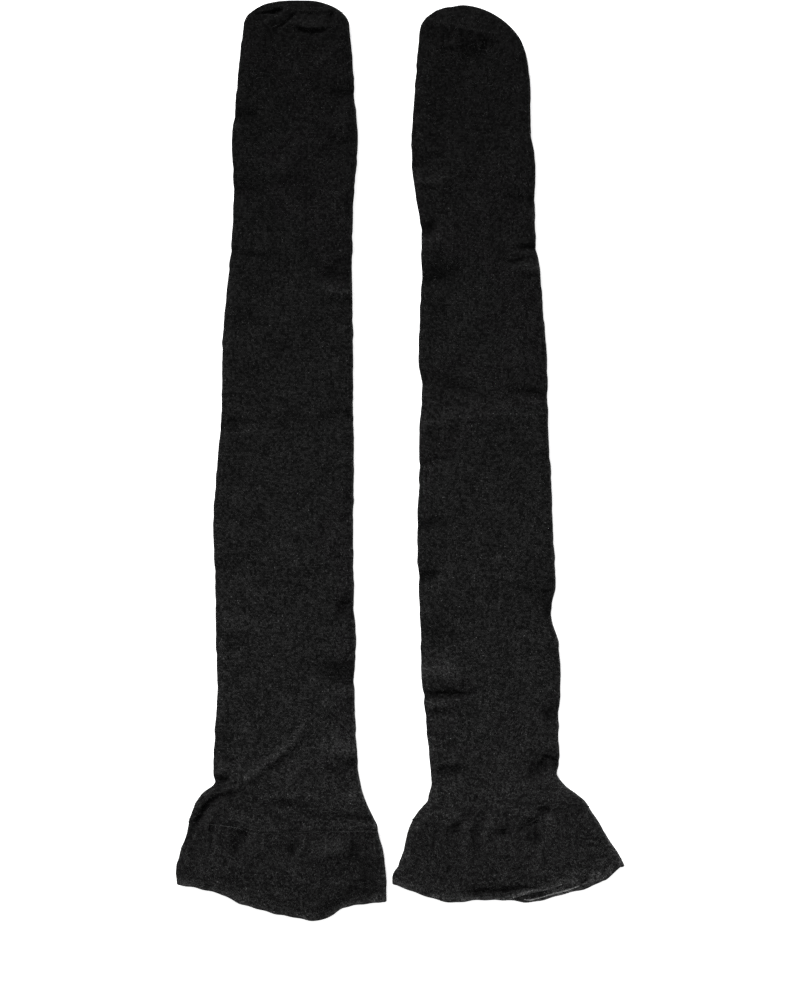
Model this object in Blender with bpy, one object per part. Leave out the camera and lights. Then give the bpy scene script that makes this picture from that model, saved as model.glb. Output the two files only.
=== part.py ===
"""A pair of knee-high socks in fine wool jersey, laid flat side by side, toes towards +Y.

A sock is a knitted tube pressed flat. Its under layer lies on the surface at z = 0, its top layer
lies on that with a little air between them, and the two run into each other round both sides and
round the toe. Each sock is two pieces: the leg, heel and foot in one tube, closed at the toe by a
linked seam, and a deep flared cuff of the same jersey turned double, sewn on at the cuff seam.

Places on a sock are given in millimetres: "along" is the height above the cuff seam, towards the
toe, and "across" runs from 0 at the left edge to 1 at the right edge, seen from above.
"""

import bpy
import numpy as np

MM = 0.001
COLLECTION_NAME = "knee_high_socks"

# Cloth
LEG_WALL = 1.2  # one layer of the fine jersey
CUFF_WALL = 2.0  # the jersey turned double
SEAM_GAP = 0.3  # from the end of the leg to the cuff sewn on to it
LEAST_AIR = 0.2  # between the two layers, under the deepest crease
HEM_FOLD = 0.7  # how far the folded edge of the cuff rounds out

# Grid that each tube is worked out on
LEG_COLUMNS = 20
LEG_ROWS = 54
CUFF_COLUMNS = 2 * LEG_COLUMNS  # so that both sides of the seam share their places
CUFF_ROWS = 9
EDGE_ARC_STEPS = 4
EDGE_CROWDING = 0.45  # 0 spaces the columns evenly, 1 crowds them to the edges as a cosine does
CREASE_REACH = 12.0  # rows draw together this near to a crease
CREASE_CROWDING = 1.3

# Bends of the rows
TOE_LINE = 560.0  # along, where the left edge runs into the round of the toe
TOE_BEND_LENGTH = 70.0  # the rows bow into the toe over this length
SEAM_BEND_LENGTH = 40.0  # and out of the line of the cuff seam over this one

SHARP_ANGLE = 40.0


def table(columns, rows):
    """A table as one array for each named column."""
    return dict(zip(columns.split(), np.array(rows, float).T))


# How thick the flattened sock is, from the surface to the top of the cloth.
THICKNESS = table(
    "along thick",
    [
        (-62, 5.4),
        (-25, 5.8),
        (3, 5.8),
        (16, 5.2),
        (42, 4.4),
        (90, 4.2),
        (500, 4.2),
        (560, 3.8),
    ],
)

# Sections of each sock: its reach to the left and to the right of its centre line.
LEFT_SECTIONS = table(
    "along left right",
    [
        (-50, 77.5, 68.5),
        (-38, 78.5, 68.5),
        (-28, 79.0, 68.0),
        (-17, 76.5, 66.5),
        (-7, 73.5, 64.0),
        (4, 70.5, 61.5),
        (14, 67.5, 56.5),
        (25, 61.0, 52.0),
        (33, 52.5, 50.0),
        (40, 53.0, 49.0),
        (67, 52.0, 47.0),
        (98, 50.0, 46.0),
        (130, 51.0, 47.0),
        (171, 51.5, 45.5),
        (213, 53.0, 45.0),
        (245, 51.0, 45.5),
        (276, 48.5, 45.5),
        (298, 47.0, 45.0),
        (340, 46.5, 45.0),
        (371, 44.0, 44.5),
        (402, 41.0, 44.5),
        (434, 39.0, 45.0),
        (455, 39.0, 46.5),
        (481, 40.0, 48.5),
        (507, 37.5, 46.5),
        (539, 34.5, 44.5),
        (560, 32.0, 42.5),
    ],
)
RIGHT_SECTIONS = table(
    "along left right",
    [
        (-50, 67.5, 96.0),
        (-38, 67.0, 96.0),
        (-25, 64.5, 95.0),
        (-16, 61.5, 90.5),
        (-7, 58.5, 84.0),
        (4, 54.5, 78.0),
        (14, 48.0, 71.5),
        (20, 43.0, 67.5),
        (25, 41.5, 61.5),
        (31, 40.0, 53.5),
        (39, 40.5, 48.0),
        (46, 41.0, 50.0),
        (67, 43.0, 49.0),
        (88, 45.0, 50.0),
        (108, 47.0, 50.5),
        (130, 47.5, 49.0),
        (150, 48.0, 44.5),
        (171, 49.0, 47.0),
        (213, 50.0, 45.0),
        (245, 48.5, 44.0),
        (276, 48.5, 42.0),
        (306, 46.5, 41.5),
        (329, 49.0, 41.0),
        (360, 48.0, 38.5),
        (392, 47.0, 36.0),
        (413, 47.0, 33.0),
        (444, 51.0, 32.5),
        (462, 53.5, 33.0),
        (476, 54.0, 31.5),
        (491, 53.5, 29.5),
        (518, 51.5, 29.5),
        (539, 50.0, 27.0),
        (560, 48.0, 25.0),
    ],
)

# The line of the cuff seam, and the hem of the top layer and of the under layer.
LEFT_SEAM = table(
    "across along",
    [
        (0.0, 5.5),
        (0.22, 2.0),
        (0.38, -2.5),
        (0.68, -1.5),
        (1.0, -0.5),
    ],
)
RIGHT_SEAM = table(
    "across along",
    [
        (0.0, 7.0),
        (0.22, 0.5),
        (0.45, 1.0),
        (0.63, 3.0),
        (0.78, 11.5),
        (1.0, 16.0),
    ],
)
LEFT_HEM = table(
    "across top under",
    [
        (0.0, -38.0, -37.5),
        (0.1, -40.5, -40.0),
        (0.19, -43.8, -43.2),
        (0.3, -51.0, -50.4),
        (0.55, -60.2, -59.6),
        (0.68, -62.8, -62.2),
        (0.75, -59.2, -58.6),
        (0.81, -53.5, -52.9),
        (0.9, -51.5, -50.9),
        (1.0, -49.5, -49.0),
    ],
)
RIGHT_HEM = table(
    "across top under",
    [
        (0.0, -38.0, -37.5),
        (0.12, -44.8, -44.2),
        (0.25, -50.0, -49.4),
        (0.34, -48.6, -48.2),
        (0.49, -48.2, -48.6),
        (0.58, -44.2, -50.4),
        (0.7, -39.8, -46.9),
        (0.77, -36.6, -43.6),
        (0.85, -37.2, -40.6),
        (0.93, -34.2, -34.6),
        (1.0, -25.0, -24.6),
    ],
)

# The round of each toe: two quarter curves that meet at its highest point. fall is how far the
# right edge runs into the round below the left edge, and power squares the curve off.
LEFT_TOE = {"peak_across": 0.5, "rise": 20.0, "fall": 0.0, "power": (2.4, 2.4)}
RIGHT_TOE = {"peak_across": 0.39, "rise": 16.5, "fall": 21.0, "power": (1.95, 1.8)}

# Largest folds of the top layer, each a soft ridge (rise above 0) or trough (below 0) from one
# place to another. It bows sideways by bow, and starts at full strength where hold is 1.
CREASE_COLUMNS = "across along to_across to_along width rise bow hold"
LEFT_CREASES = table(
    CREASE_COLUMNS,
    [
        (0.34, 573, 0.93, 571, 2.2, 1.0, 0.0, 0),  # linked toe seam
        (0.50, 565, 0.78, 565, 6.5, 0.9, 0.0, 0),  # puffed pad under it
        (0.49, 558, 0.84, 562, 3.0, -0.9, -1.0, 0),
        (0.48, 572, 0.28, 561, 3.5, -1.2, 0.0, 0),
        (0.00, 459, 0.28, 458, 5.0, -0.9, 0.0, 1),
        (0.00, 404, 0.48, 397, 5.0, -0.9, 0.0, 1),
        (0.02, 300, 0.98, 292, 4.0, -0.7, 1.0, 1),
        (0.00, 286, 0.25, 283, 4.0, -0.7, 0.0, 1),
        (1.00, 235, 0.85, 235, 6.0, -0.7, 0.0, 1),
        (1.00, 157, 0.84, 160, 6.0, -0.7, 0.0, 1),
        (1.00, 114, 0.84, 116, 6.0, -1.3, 0.0, 1),
        (1.00, 92, 0.51, 66, 4.5, 1.6, 4.5, 1),  # long diagonal fold above the cuff
        (0.51, 66, 0.02, 33, 4.5, 1.6, -4.0, 1),
        (1.00, 83, 0.56, 60, 6.0, -1.3, 4.5, 1),  # its hollow side
        (0.00, 25, 0.30, 32, 4.0, -1.2, 0.0, 1),
        (0.09, 21, 0.02, 2, 4.0, -1.7, 0.0, 1),  # pinched left edge over the cuff seam
        (0.48, 22, 0.98, 9, 4.0, -1.2, -2.0, 0),
        (0.48, 14, 0.98, 6, 4.0, 1.0, -2.0, 0),
    ],
)
RIGHT_CREASES = table(
    CREASE_COLUMNS,
    [
        (0.06, 568, 0.78, 556, 2.4, 1.0, -1.5, 0),  # linked toe seam
        (0.33, 558, 0.72, 553, 3.2, -1.0, -1.0, 0),
        (0.56, 546, 0.68, 544, 4.0, -0.9, 0.0, 0),
        (1.00, 408, 0.72, 408, 4.0, -1.2, 0.0, 1),
        (0.00, 391, 0.38, 391, 4.5, -1.3, 0.0, 1),
        (0.00, 378, 0.30, 378, 6.0, 0.7, 0.0, 1),
        (0.00, 316, 0.42, 311, 5.0, -1.3, 0.0, 1),
        (1.00, 307, 0.68, 308, 4.5, -1.3, 0.0, 1),
        (0.05, 286, 1.00, 293, 6.0, 0.7, 3.0, 0),
        (0.00, 215, 0.28, 215, 4.0, -1.0, 0.0, 1),
        (1.00, 170, 0.64, 173, 5.5, -1.0, 0.0, 1),
        (0.95, 160, 0.95, 138, 4.5, -1.6, 0.0, 0),  # tuck in the right edge
        (0.00, 98, 0.32, 98, 4.5, -1.4, 0.0, 1),
        (0.05, 114, 0.40, 114, 9.0, 0.9, 0.0, 0),
        (0.00, 44, 0.26, 46, 5.0, -1.0, 0.0, 1),
        (0.95, 54, 0.76, 37, 6.0, -1.4, 0.0, 0),
    ],
)

# Gathers of the cuff under its seam, and its larger dents, in the same columns.
LEFT_GATHERS = table(
    CREASE_COLUMNS,
    [
        (0.08, 12, 0.00, -12, 4.5, -1.7, 0.0, 1),
        (0.25, -1, 0.24, -16, 5.0, -1.2, 0.0, 1),
        (0.36, -3, 0.36, -12, 4.0, 0.9, 0.0, 1),
        (0.49, -7, 0.49, -26, 5.0, -1.2, 0.0, 0),
        (0.60, -3, 0.61, -20, 5.0, 0.7, 0.0, 1),
        (0.70, -6, 0.70, -24, 5.0, -1.2, 0.0, 0),
        (0.82, -4, 0.80, -24, 4.5, -1.2, 0.0, 0),
        (0.92, -31, 0.74, -52, 9.0, -1.4, 0.0, 0),
    ],
)
RIGHT_GATHERS = table(
    CREASE_COLUMNS,
    [
        (0.12, 4, 0.08, -16, 5.0, 0.7, 0.0, 1),
        (0.27, 4, 0.18, -12, 4.5, -1.3, 0.0, 1),
        (0.33, 2, 0.34, -14, 3.5, 1.2, 0.0, 1),
        (0.39, 2, 0.38, -18, 4.5, -1.3, 0.0, 1),
        (0.50, 1, 0.50, -10, 5.0, -1.0, 0.0, 1),
        (0.57, 1, 0.56, -14, 4.5, 0.7, 0.0, 1),
        (0.66, 3, 0.66, -14, 5.5, -1.3, 0.0, 1),
        (0.76, 10, 0.76, -4, 4.0, 1.0, 0.0, 1),
        (0.82, 12, 0.84, -6, 4.5, -1.3, 0.0, 1),
        (0.93, 12, 0.94, -4, 5.0, -1.0, 0.0, 1),
        (0.32, -44, 0.50, -42, 3.5, -1.2, 0.0, 0),
        (0.54, -44, 0.84, -34, 5.0, 1.4, 0.0, 0),  # open mouth at the hem
    ],
)

SOCKS = {
    "left": {
        "centre": -77.0,
        "sections": LEFT_SECTIONS,
        "seam": LEFT_SEAM,
        "hem": LEFT_HEM,
        "toe": LEFT_TOE,
        "creases": LEFT_CREASES,
        "gathers": LEFT_GATHERS,
    },
    "right": {
        "centre": 62.6,
        "sections": RIGHT_SECTIONS,
        "seam": RIGHT_SEAM,
        "hem": RIGHT_HEM,
        "toe": RIGHT_TOE,
        "creases": RIGHT_CREASES,
        "gathers": RIGHT_GATHERS,
    },
}

WOOL_COLOUR = (0.0125, 0.0120, 0.0120, 1.0)
CUFF_COLOUR = (0.0150, 0.0145, 0.0145, 1.0)
WOOL_ROUGHNESS = 0.95


def smooth_step(value):
    """0 below 0, 1 above 1, and a smooth rise between them."""
    value = np.clip(value, 0.0, 1.0)
    return value * value * (3.0 - 2.0 * value)


def smooth_curve(stations, values, at):
    """A smooth curve through the rows of a table.

    Each stretch is a cubic. Its slope at a row is the harmonic mean of the slopes on either side,
    and level at a peak or a dip, so the curve never swings past its rows.
    """
    steps = np.diff(stations)
    slopes = np.diff(values) / steps
    before, after = slopes[:-1], slopes[1:]
    same_way = before * after > 0
    total = np.where(same_way, before + after, 1.0)
    inner = np.where(same_way, 2.0 * before * after / total, 0.0)
    tangents = np.concatenate([slopes[:1], inner, slopes[-1:]])
    at = np.clip(at, stations[0], stations[-1])
    row = np.clip(np.searchsorted(stations, at, side="right") - 1, 0, len(steps) - 1)
    step = steps[row]
    t = (at - stations[row]) / step
    start = (1 + 2 * t) * (1 - t) ** 2 * values[row] + t * (1 - t) ** 2 * step * tangents[row]
    end = t * t * (3 - 2 * t) * values[row + 1] - t * t * (1 - t) * step * tangents[row + 1]
    return start + end


def edges(sock, along):
    """The left and right edges of a sock at heights along it, from its centre line."""
    sections = sock["sections"]
    left = smooth_curve(sections["along"], sections["left"], along)
    right = smooth_curve(sections["along"], sections["right"], along)
    return -left, right


def thickness(along):
    return smooth_curve(THICKNESS["along"], THICKNESS["thick"], along)


def toe_height(toe, across):
    """Height of the toe's round above the toe line.

    Each side is a quarter of a superellipse: (distance from the peak)^n + (height)^n = 1.
    """
    peak = toe["peak_across"]
    on_left = across < peak
    reach = np.where(on_left, (peak - across) / peak, (across - peak) / (1.0 - peak))
    power = np.where(on_left, *toe["power"])
    rise = np.where(on_left, toe["rise"], toe["rise"] + toe["fall"])
    quarter = (1.0 - np.clip(reach, 0.0, 1.0) ** power) ** (1.0 / power)
    return toe["rise"] - rise * (1.0 - quarter)


def columns(count):
    """Places across the sock, a little closer together towards both edges."""
    even = np.linspace(0.0, 1.0, count + 1)
    rounded = (1.0 - np.cos(np.pi * even)) / 2.0
    return even + (rounded - even) * EDGE_CROWDING


def seam_line(sock, across):
    """Height of the cuff seam, straight between the leg's columns so that both sides of it match."""
    stitches = columns(LEG_COLUMNS)
    heights = smooth_curve(sock["seam"]["across"], sock["seam"]["along"], stitches)
    return np.interp(across, stitches, heights)


def leg_rows(creases):
    """Heights of the rows of a leg, drawn together where a crease lies."""
    fine = np.linspace(0.0, TOE_LINE, 1000)
    middles = (creases["along"] + creases["to_along"]) / 2.0
    near = np.exp(-(((fine[:, None] - middles) / CREASE_REACH) ** 2)).sum(axis=1)
    weight = 1.0 + CREASE_CROWDING * np.minimum(near, 2.0)
    share = np.concatenate([[0.0], np.cumsum(weight[1:] + weight[:-1])])
    return np.interp(np.linspace(0.0, share[-1], LEG_ROWS + 1), share, fine)


def spread(sock, across, along):
    """Plan places of the grid: each row runs straight from the left edge to the right one.

    The plan stops half a thickness short of the outline, where the rounded edge takes over.
    """
    left, _ = edges(sock, along[:, :1])
    _, right = edges(sock, along[:, -1:])
    left = left + thickness(along[:, :1]) / 2.0
    right = right - thickness(along[:, -1:]) / 2.0
    return left + (right - left) * across


def leg_plan(sock):
    """Plan of the leg: rows leave the line of the cuff seam and bow into the round of the toe."""
    across = columns(LEG_COLUMNS)
    rows = leg_rows(sock["creases"])[:, None]
    seam = seam_line(sock, across)
    toe = toe_height(sock["toe"], across) - thickness(TOE_LINE) / 2.0
    near_seam = 1.0 - smooth_step(rows / SEAM_BEND_LENGTH)
    near_toe = smooth_step((rows - TOE_LINE + TOE_BEND_LENGTH) / TOE_BEND_LENGTH)
    along = rows + seam * near_seam + toe * near_toe
    return spread(sock, across, along), along


def cuff_plan(sock, layer):
    """Plan of one layer of the cuff, its rows spread evenly from the hem to the cuff seam."""
    across = columns(CUFF_COLUMNS)
    share = np.linspace(0.0, 1.0, CUFF_ROWS + 1)[:, None]
    hem = smooth_curve(sock["hem"]["across"], sock["hem"][layer], across)
    seam = seam_line(sock, across) - SEAM_GAP
    along = hem + (seam - hem) * share
    return spread(sock, across, along), along


def place(sock, across, along):
    """Plan place of a point that a table gives by across and along."""
    left, right = edges(sock, along)
    return np.array([left + (right - left) * across, along])


def relief(sock, x, y):
    """How far the creases and gathers raise or sink the top layer at plan places x, y.

    A crease is a bell curve of the distance from its line, and the line bows as a parabola. It
    fades at its far end, and at its near end too unless its hold is 1.
    """
    height = np.zeros_like(x)
    for row in [*zip(*sock["creases"].values()), *zip(*sock["gathers"].values())]:
        across, along, to_across, to_along, width, rise, bow, hold = row
        start = place(sock, across, along)
        run = place(sock, to_across, to_along) - start
        length = np.hypot(*run)
        run = run / length
        forward = (x - start[0]) * run[0] + (y - start[1]) * run[1]
        sideways = (y - start[1]) * run[0] - (x - start[0]) * run[1]
        t = np.clip(forward / length, 0.0, 1.0)
        sideways = sideways - bow * 4.0 * t * (1.0 - t)
        beyond = forward - t * length
        bell = np.exp(-(sideways**2 + beyond**2) / (width / 2.0) ** 2)
        near_end = np.where(hold > 0.5, 1.0, smooth_step(t * 3.0 + 0.3))
        far_end = smooth_step((1.0 - t) * 1.6 + 0.05)
        height += rise * bell * near_end * far_end
    return height


def skin(top, under, low, high, radius, path):
    """Points and faces of one closed-round skin of a flattened tube.

    top and under are the plan places of the two layers as grids, low and high their heights. The
    path lists the grid points of the edges, and half circles of the given radius join the layers
    along it, square to the path.
    """
    rows, cols = low.shape
    grid = np.arange(rows * cols).reshape(rows, cols)
    points = [np.dstack([*top, high]).reshape(-1, 3), np.dstack([*under, low]).reshape(-1, 3)]
    quads = [
        np.stack([grid[:-1, :-1], grid[:-1, 1:], grid[1:, 1:], grid[1:, :-1]], axis=-1),
        np.stack([grid[:-1, :-1], grid[1:, :-1], grid[1:, 1:], grid[:-1, 1:]], axis=-1)
        + grid.size,
    ]
    count = 2 * grid.size
    strips = []
    for j, i, outward in path:
        upper, lower = points[0][grid[j, i]], points[1][grid[j, i]]
        turn = np.linspace(0.0, np.pi, EDGE_ARC_STEPS + 1)[1:-1, None, None]
        middle = (1.0 + np.cos(turn)) / 2.0
        arc = lower + (upper - lower) * middle
        arc[..., :2] += outward * radius[j, i][:, None] * np.sin(turn)
        inner = np.arange(arc[..., 0].size).reshape(arc.shape[:2]) + count
        count += inner.size
        points.append(arc.reshape(-1, 3))
        strip = np.vstack([grid[j, i], inner, grid[j, i] + grid.size])
        quads.append(
            np.stack([strip[:-1, :-1], strip[:-1, 1:], strip[1:, 1:], strip[1:, :-1]], axis=-1)
        )
        strips.append(strip)
    faces = np.concatenate([q.reshape(-1, 4) for q in quads])
    return np.concatenate(points), faces, grid, strips


def ring(grid, strips, row):
    """Point numbers round the tube at its first row (0) or its last one (-1)."""
    left = strips[0][:, row]
    right = strips[-1][:, -1 - row]
    under = grid[row, ::-1] + grid.size
    return np.concatenate([grid[row], right[1:-1], under, left[-2:0:-1]])


def loop_quads(first, second):
    """Faces between two rings of points."""
    return np.stack([first, second, np.roll(second, -1), np.roll(first, -1)], axis=-1)


def edge_path(plan, closed_toe):
    """Grid points along the edges with their outward directions in the plan.

    The path runs up the left side, over the toe where there is one, and down the right side. The
    sides face straight left and right, and the toe faces square to its curve.
    """
    x, y = plan
    rows, cols = x.shape
    up = np.arange(rows)
    left = (up, np.zeros(rows, int), np.tile([-1.0, 0.0], (rows, 1)))
    right = (up[::-1], np.full(rows, cols - 1), np.tile([1.0, 0.0], (rows, 1)))
    if not closed_toe:
        return [left, right]
    over = np.arange(1, cols - 1)
    along_x, along_y = np.gradient(x[-1]), np.gradient(y[-1])
    facing = np.stack([-along_y, along_x], axis=-1)[1:-1]
    facing /= np.linalg.norm(facing, axis=1, keepdims=True)
    toe = (np.full(over.size, rows - 1), over, facing)
    return [tuple(np.concatenate(parts) for parts in zip(left, toe, right))]


def tube(top, under, thick, raised, wall, closed_toe):
    """A flattened tube with a real wall: an outer skin, an inner skin and its open ends."""
    floor = np.zeros_like(thick)
    path = edge_path(top, closed_toe)
    raised = np.maximum(raised, 2.0 * wall + LEAST_AIR - thick)
    outer = skin(top, under, floor, thick + raised, thick / 2.0, path)
    inner = skin(top, under, floor + wall, thick - wall + raised, thick / 2.0 - wall, path)
    points, faces, grid, strips = outer
    shift = len(points)
    all_faces = [faces, inner[1][:, ::-1] + shift]
    first = ring(grid, strips, 0)
    all_points = [points, inner[0]]
    if closed_toe:
        all_faces.append(loop_quads(first, first + shift))
    else:
        fold = (points[first] + inner[0][first]) / 2.0
        fold[:, 1] -= HEM_FOLD
        middle = np.arange(len(fold)) + 2 * shift
        all_points.append(fold)
        all_faces.append(loop_quads(first, middle))
        all_faces.append(loop_quads(middle, first + shift))
        last = ring(grid, strips, -1)
        all_faces.append(loop_quads(last + shift, last))
    return np.concatenate(all_points), np.concatenate(all_faces)


def leg(sock):
    x, y = leg_plan(sock)
    raised = relief(sock, x, y)
    return tube((x, y), (x, y), thickness(y), raised, LEG_WALL, closed_toe=True)


def cuff(sock):
    top = cuff_plan(sock, "top")
    under = cuff_plan(sock, "under")
    raised = relief(sock, *top)
    return tube(top, under, thickness(top[1]), raised, CUFF_WALL, closed_toe=False)


def material(name, colour):
    wool = bpy.data.materials.new(name)
    wool.use_nodes = True
    shader = wool.node_tree.nodes["Principled BSDF"]
    shader.inputs["Base Color"].default_value = colour
    shader.inputs["Roughness"].default_value = WOOL_ROUGHNESS
    shader.inputs["Metallic"].default_value = 0.0
    return wool


def add_object(collection, name, points, faces, wool):
    mesh = bpy.data.meshes.new(name)
    mesh.from_pydata((points * MM).tolist(), [], faces.tolist())
    mesh.shade_smooth()
    mesh.set_sharp_from_angle(angle=np.radians(SHARP_ANGLE))
    mesh.materials.append(wool)
    obj = bpy.data.objects.new(name, mesh)
    collection.objects.link(obj)
    return obj


def main():
    for obj in list(bpy.data.objects):
        bpy.data.objects.remove(obj, do_unlink=True)
    collection = bpy.data.collections.new(COLLECTION_NAME)
    bpy.context.scene.collection.children.link(collection)

    pieces = {}
    for side, sock in SOCKS.items():
        for part, make in (("sock", leg), ("cuff", cuff)):
            points, faces = make(sock)
            points[:, 0] += sock["centre"]
            pieces[f"{part}_{side}"] = (points, faces)

    everything = np.concatenate([points for points, _ in pieces.values()])
    middle = (everything.min(axis=0) + everything.max(axis=0)) / 2.0
    middle[2] = 0.0  # the pair rests on z = 0
    for name, (points, faces) in pieces.items():
        colour = CUFF_COLOUR if name.startswith("cuff") else WOOL_COLOUR
        add_object(collection, name, points - middle, faces, material(f"{name}_wool", colour))


main()
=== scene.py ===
"""Looks of a pair of knee-high socks in dark wool jersey, laid flat with their toes towards +Y.

Each sock is a knitted tube pressed flat, closed at the toe by a linked seam, with a deep flared
cuff of the same jersey turned double and sewn on at the cuff seam. The cloth is made here as fine
shells on the form of the solids, with its creases, gathers, seam stitches and wool nap.

Places on a sock are in millimetres: "along" is the height above the cuff seam, towards the toe,
and "across" runs from 0 at the left edge to 1 at the right edge, seen from above.
"""

import bpy
import numpy as np
from mathutils import Matrix, Vector


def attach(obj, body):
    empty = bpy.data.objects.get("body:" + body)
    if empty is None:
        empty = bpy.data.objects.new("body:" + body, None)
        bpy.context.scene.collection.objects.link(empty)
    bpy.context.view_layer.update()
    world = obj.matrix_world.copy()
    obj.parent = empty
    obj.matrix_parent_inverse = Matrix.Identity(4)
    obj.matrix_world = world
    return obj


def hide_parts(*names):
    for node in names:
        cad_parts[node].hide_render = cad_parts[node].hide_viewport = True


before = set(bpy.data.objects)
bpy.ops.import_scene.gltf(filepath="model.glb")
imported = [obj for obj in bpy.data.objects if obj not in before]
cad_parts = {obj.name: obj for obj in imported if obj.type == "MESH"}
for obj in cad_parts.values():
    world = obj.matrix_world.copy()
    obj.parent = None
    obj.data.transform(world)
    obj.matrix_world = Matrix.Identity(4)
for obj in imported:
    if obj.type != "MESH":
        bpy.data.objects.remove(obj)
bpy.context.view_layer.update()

MM = 0.001

# Cloth. Its outside follows the solids, and its walls are 0.2 and 0.3 thinner than theirs.
LEG_WALL = 1.0
CUFF_WALL = 1.7
SEAM_GAP = 0.3
LEAST_AIR = 0.2  # between the two layers
HEM_FOLD = 0.9  # how far the round of the hem stands out past it
HEM_WAVES = ((0.22, 71.0), (0.15, 37.0))  # how high, and how many radians across the cuff
TOE_LINE = 560.0  # where the round of the toe begins
TOE_BEND_LENGTH = 70.0  # over which the rows bow into the toe's round
SEAM_BEND_LENGTH = 40.0  # over which they leave the line of the cuff seam

# Fine grid of the cloth
LEG_COLUMNS = 66
LEG_ROWS = 520
CUFF_COLUMNS = 190
CUFF_ROWS = 56
EDGE_CROWDING = 0.3  # how far the columns draw together towards the edges
EDGE_ARC_STEPS = 8
HEM_FOLD_STEPS = 5
INSIDE_STRIDE = 5  # the inside of the tubes has one row for so many rows outside
TOE_ROWS_FROM = 0.84  # share of the rows above which they are closer together
TOE_ROWS_EASE = 0.06  # share of the rows over which they become so
TOE_ROWS_CLOSER = 0.42

# Softness of the form
EDGE_FALL = 0.22  # share of its thickness that a sock loses towards its edges
EDGE_FALL_REACH = 3.6
EDGE_ROUGHNESS = 0.14
GROOVE_DEPTH = 0.12  # of the cuff seam
GROOVE_REACH = 1.2
SOFT_STOP = 0.2  # how softly a trough stops over the under layer
HOLLOW_SHARE = 0.5  # how deep the creases of the under layer are beside those of the top layer
HOLLOW_MOST = 0.6
HOLLOW_SHIFT = 17.0
HOLLOW_EASE = 8.0  # how far in from the edges the hollows reach their depth
EDGE_NICK = 0.3  # how far a crease that reaches an edge draws it in, as a share of its depth
SLACK_WAVES = (9.0, 11.0, 14.0, 17.0, 21.0, 26.0, 33.0, 41.0)
SLACK_RISE = 0.0042  # of each wave, as a share of its length

# How a crease wanders sideways, widens and grows along its line: by what share, how many of its own
# widths to a radian of the wave, and how many radians it is shifted from one crease to the next
WANDER = {"share": 0.13, "widths": 1.4, "shift": 2.4}
WIDENING = {"share": 0.2, "widths": 1.9, "shift": 1.3}
GROWTH = {"share": 0.22, "widths": 2.3, "shift": 0.7}
NEAR_FADE = (3.0, 0.3)  # how a crease's strength rises from its near end: slope and start
FAR_FADE = (1.6, 0.05)  # and from its far end
FOLD_STEPS = 90  # along a fold that winds

# The small gathers on both sides of the cuff seam, and the short waves of the rounded edges. Each
# wave has a length, a share of the whole and a start. The length is that of a whole wave for the
# gathers, and that of one radian of it everywhere else.
GATHER_RISE = 0.42
GATHER_WAVES = ((8.3, 1.0, 0.0), (5.1, 0.6, 1.0))
GATHER_REACH = (11.0, 6.0)  # below the seam and above it
GATHER_DRIFT = (2.0, 19.0)  # how far they drift to the sides, and over what length
EDGE_WAVES = ((1.15, 0.4, 0.0), (1.9, 0.5, 1.0), (3.1, 1.0, 2.0))
EDGE_SWELL = (0.5, 9.0)  # how much these waves grow and shrink, and over what length

# Painted highlight and shade of the cloth: how much paler a ridge is painted and how much darker a
# trough, for each mm
RIDGE_HIGHLIGHT = 0.3
TROUGH_SHADE = 0.24
TROUGH_SHADE_MOST = 0.5
# over which the painted light inside the cuff's mouth fades, up from the hem
INSIDE_LIGHT_REACH = 9.0
EDGE_HIGHLIGHT = 2.6  # how much paler the rounded right edges are painted, as painted highlight from light at the lower right
TONE_LEAST = 0.45  # the cloth is never darker than this share of its own shade

# Knitting
WALE = 1.6
COURSE = 1.15
LEG_WIDTH_ON_NEEDLES = 96.0
CUFF_WIDTH_ON_NEEDLES = 147.0

# The wool's own grey and that of its light flecks, and where along the pair, in metres, it has its
# full cuff tone and its full toe tone
DARK_WOOL = 0.0088
LIGHT_WOOL = 0.05
CUFF_TONE_AT = -0.25
TOE_TONE_AT = 0.32

# Stitches of the seams, and loose fibres
CUFF_STITCH = {"pitch": 1.5, "length": 2.3, "radius": 0.36}
CUFF_STITCH_LEAN = (0.6, 0.15)  # in radians: the middle one, and how uneven they are
CUFF_STITCH_LIFT = 0.1  # how uneven their lift is
TOE_STITCH = {"pitch": 1.35, "length": 1.4, "radius": 0.16}
TOE_STITCH_LEAN = 0.7
TOE_STITCH_ASIDE = 0.24
TOE_STITCH_SUNK = 0.1
STITCH_STATIONS = 6
STITCH_SIDES = 6
STITCH_ENDS = (0.04, 0.96)  # where its flat caps cut the spindle, as shares of its length
TOE_SEAM_STEPS = 200
GAP_LIGHT_THREAD_STEPS = 60
GAP_LIGHT_THREAD_SIDES = 8
GAP_LIGHT_THREAD_LIFT = 0.15  # above the inside of the under layer
LEG_FIBRES = 5200
CUFF_FIBRES = 2800
FIBRE_FACING = (-0.4, 0.8)  # a face has fibres if it looks further up than the first of these
FIBRE_EXTRA = 4.0  # how many times more it has if it looks less far up than the second
FIBRE_ROOT = 0.05  # how deep it starts in the cloth
FIBRE_LENGTH = (1.2, 4.2)
FIBRE_RISE = (0.05, 0.42)
FIBRE_RISE_POWER = 1.3  # above 1, so most fibres lie nearly flat
FIBRE_ARCH = (1.4, 0.45)  # how steeply it leaves the cloth, and how far it droops again
FIBRE_BEND = 0.5
FIBRE_RADIUS = 0.026
FIBRE_TAPER = 0.75
FIBRE_STATIONS = 4
FIBRE_SIDES = 3
FLOOR_CLEARANCE = (0.03, 0.06)  # of stitches and of fibres

UP = np.array([0.0, 0.0, 1.0])
TOEWARDS = np.array([0.0, 1.0, 0.0])
ASKEW = np.array([0.13, 0.99, 0.05])  # a direction in which no face looks exactly

WINDOW_SIDE = (-0.45, 0.89)  # the way to the window, in the plan

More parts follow.
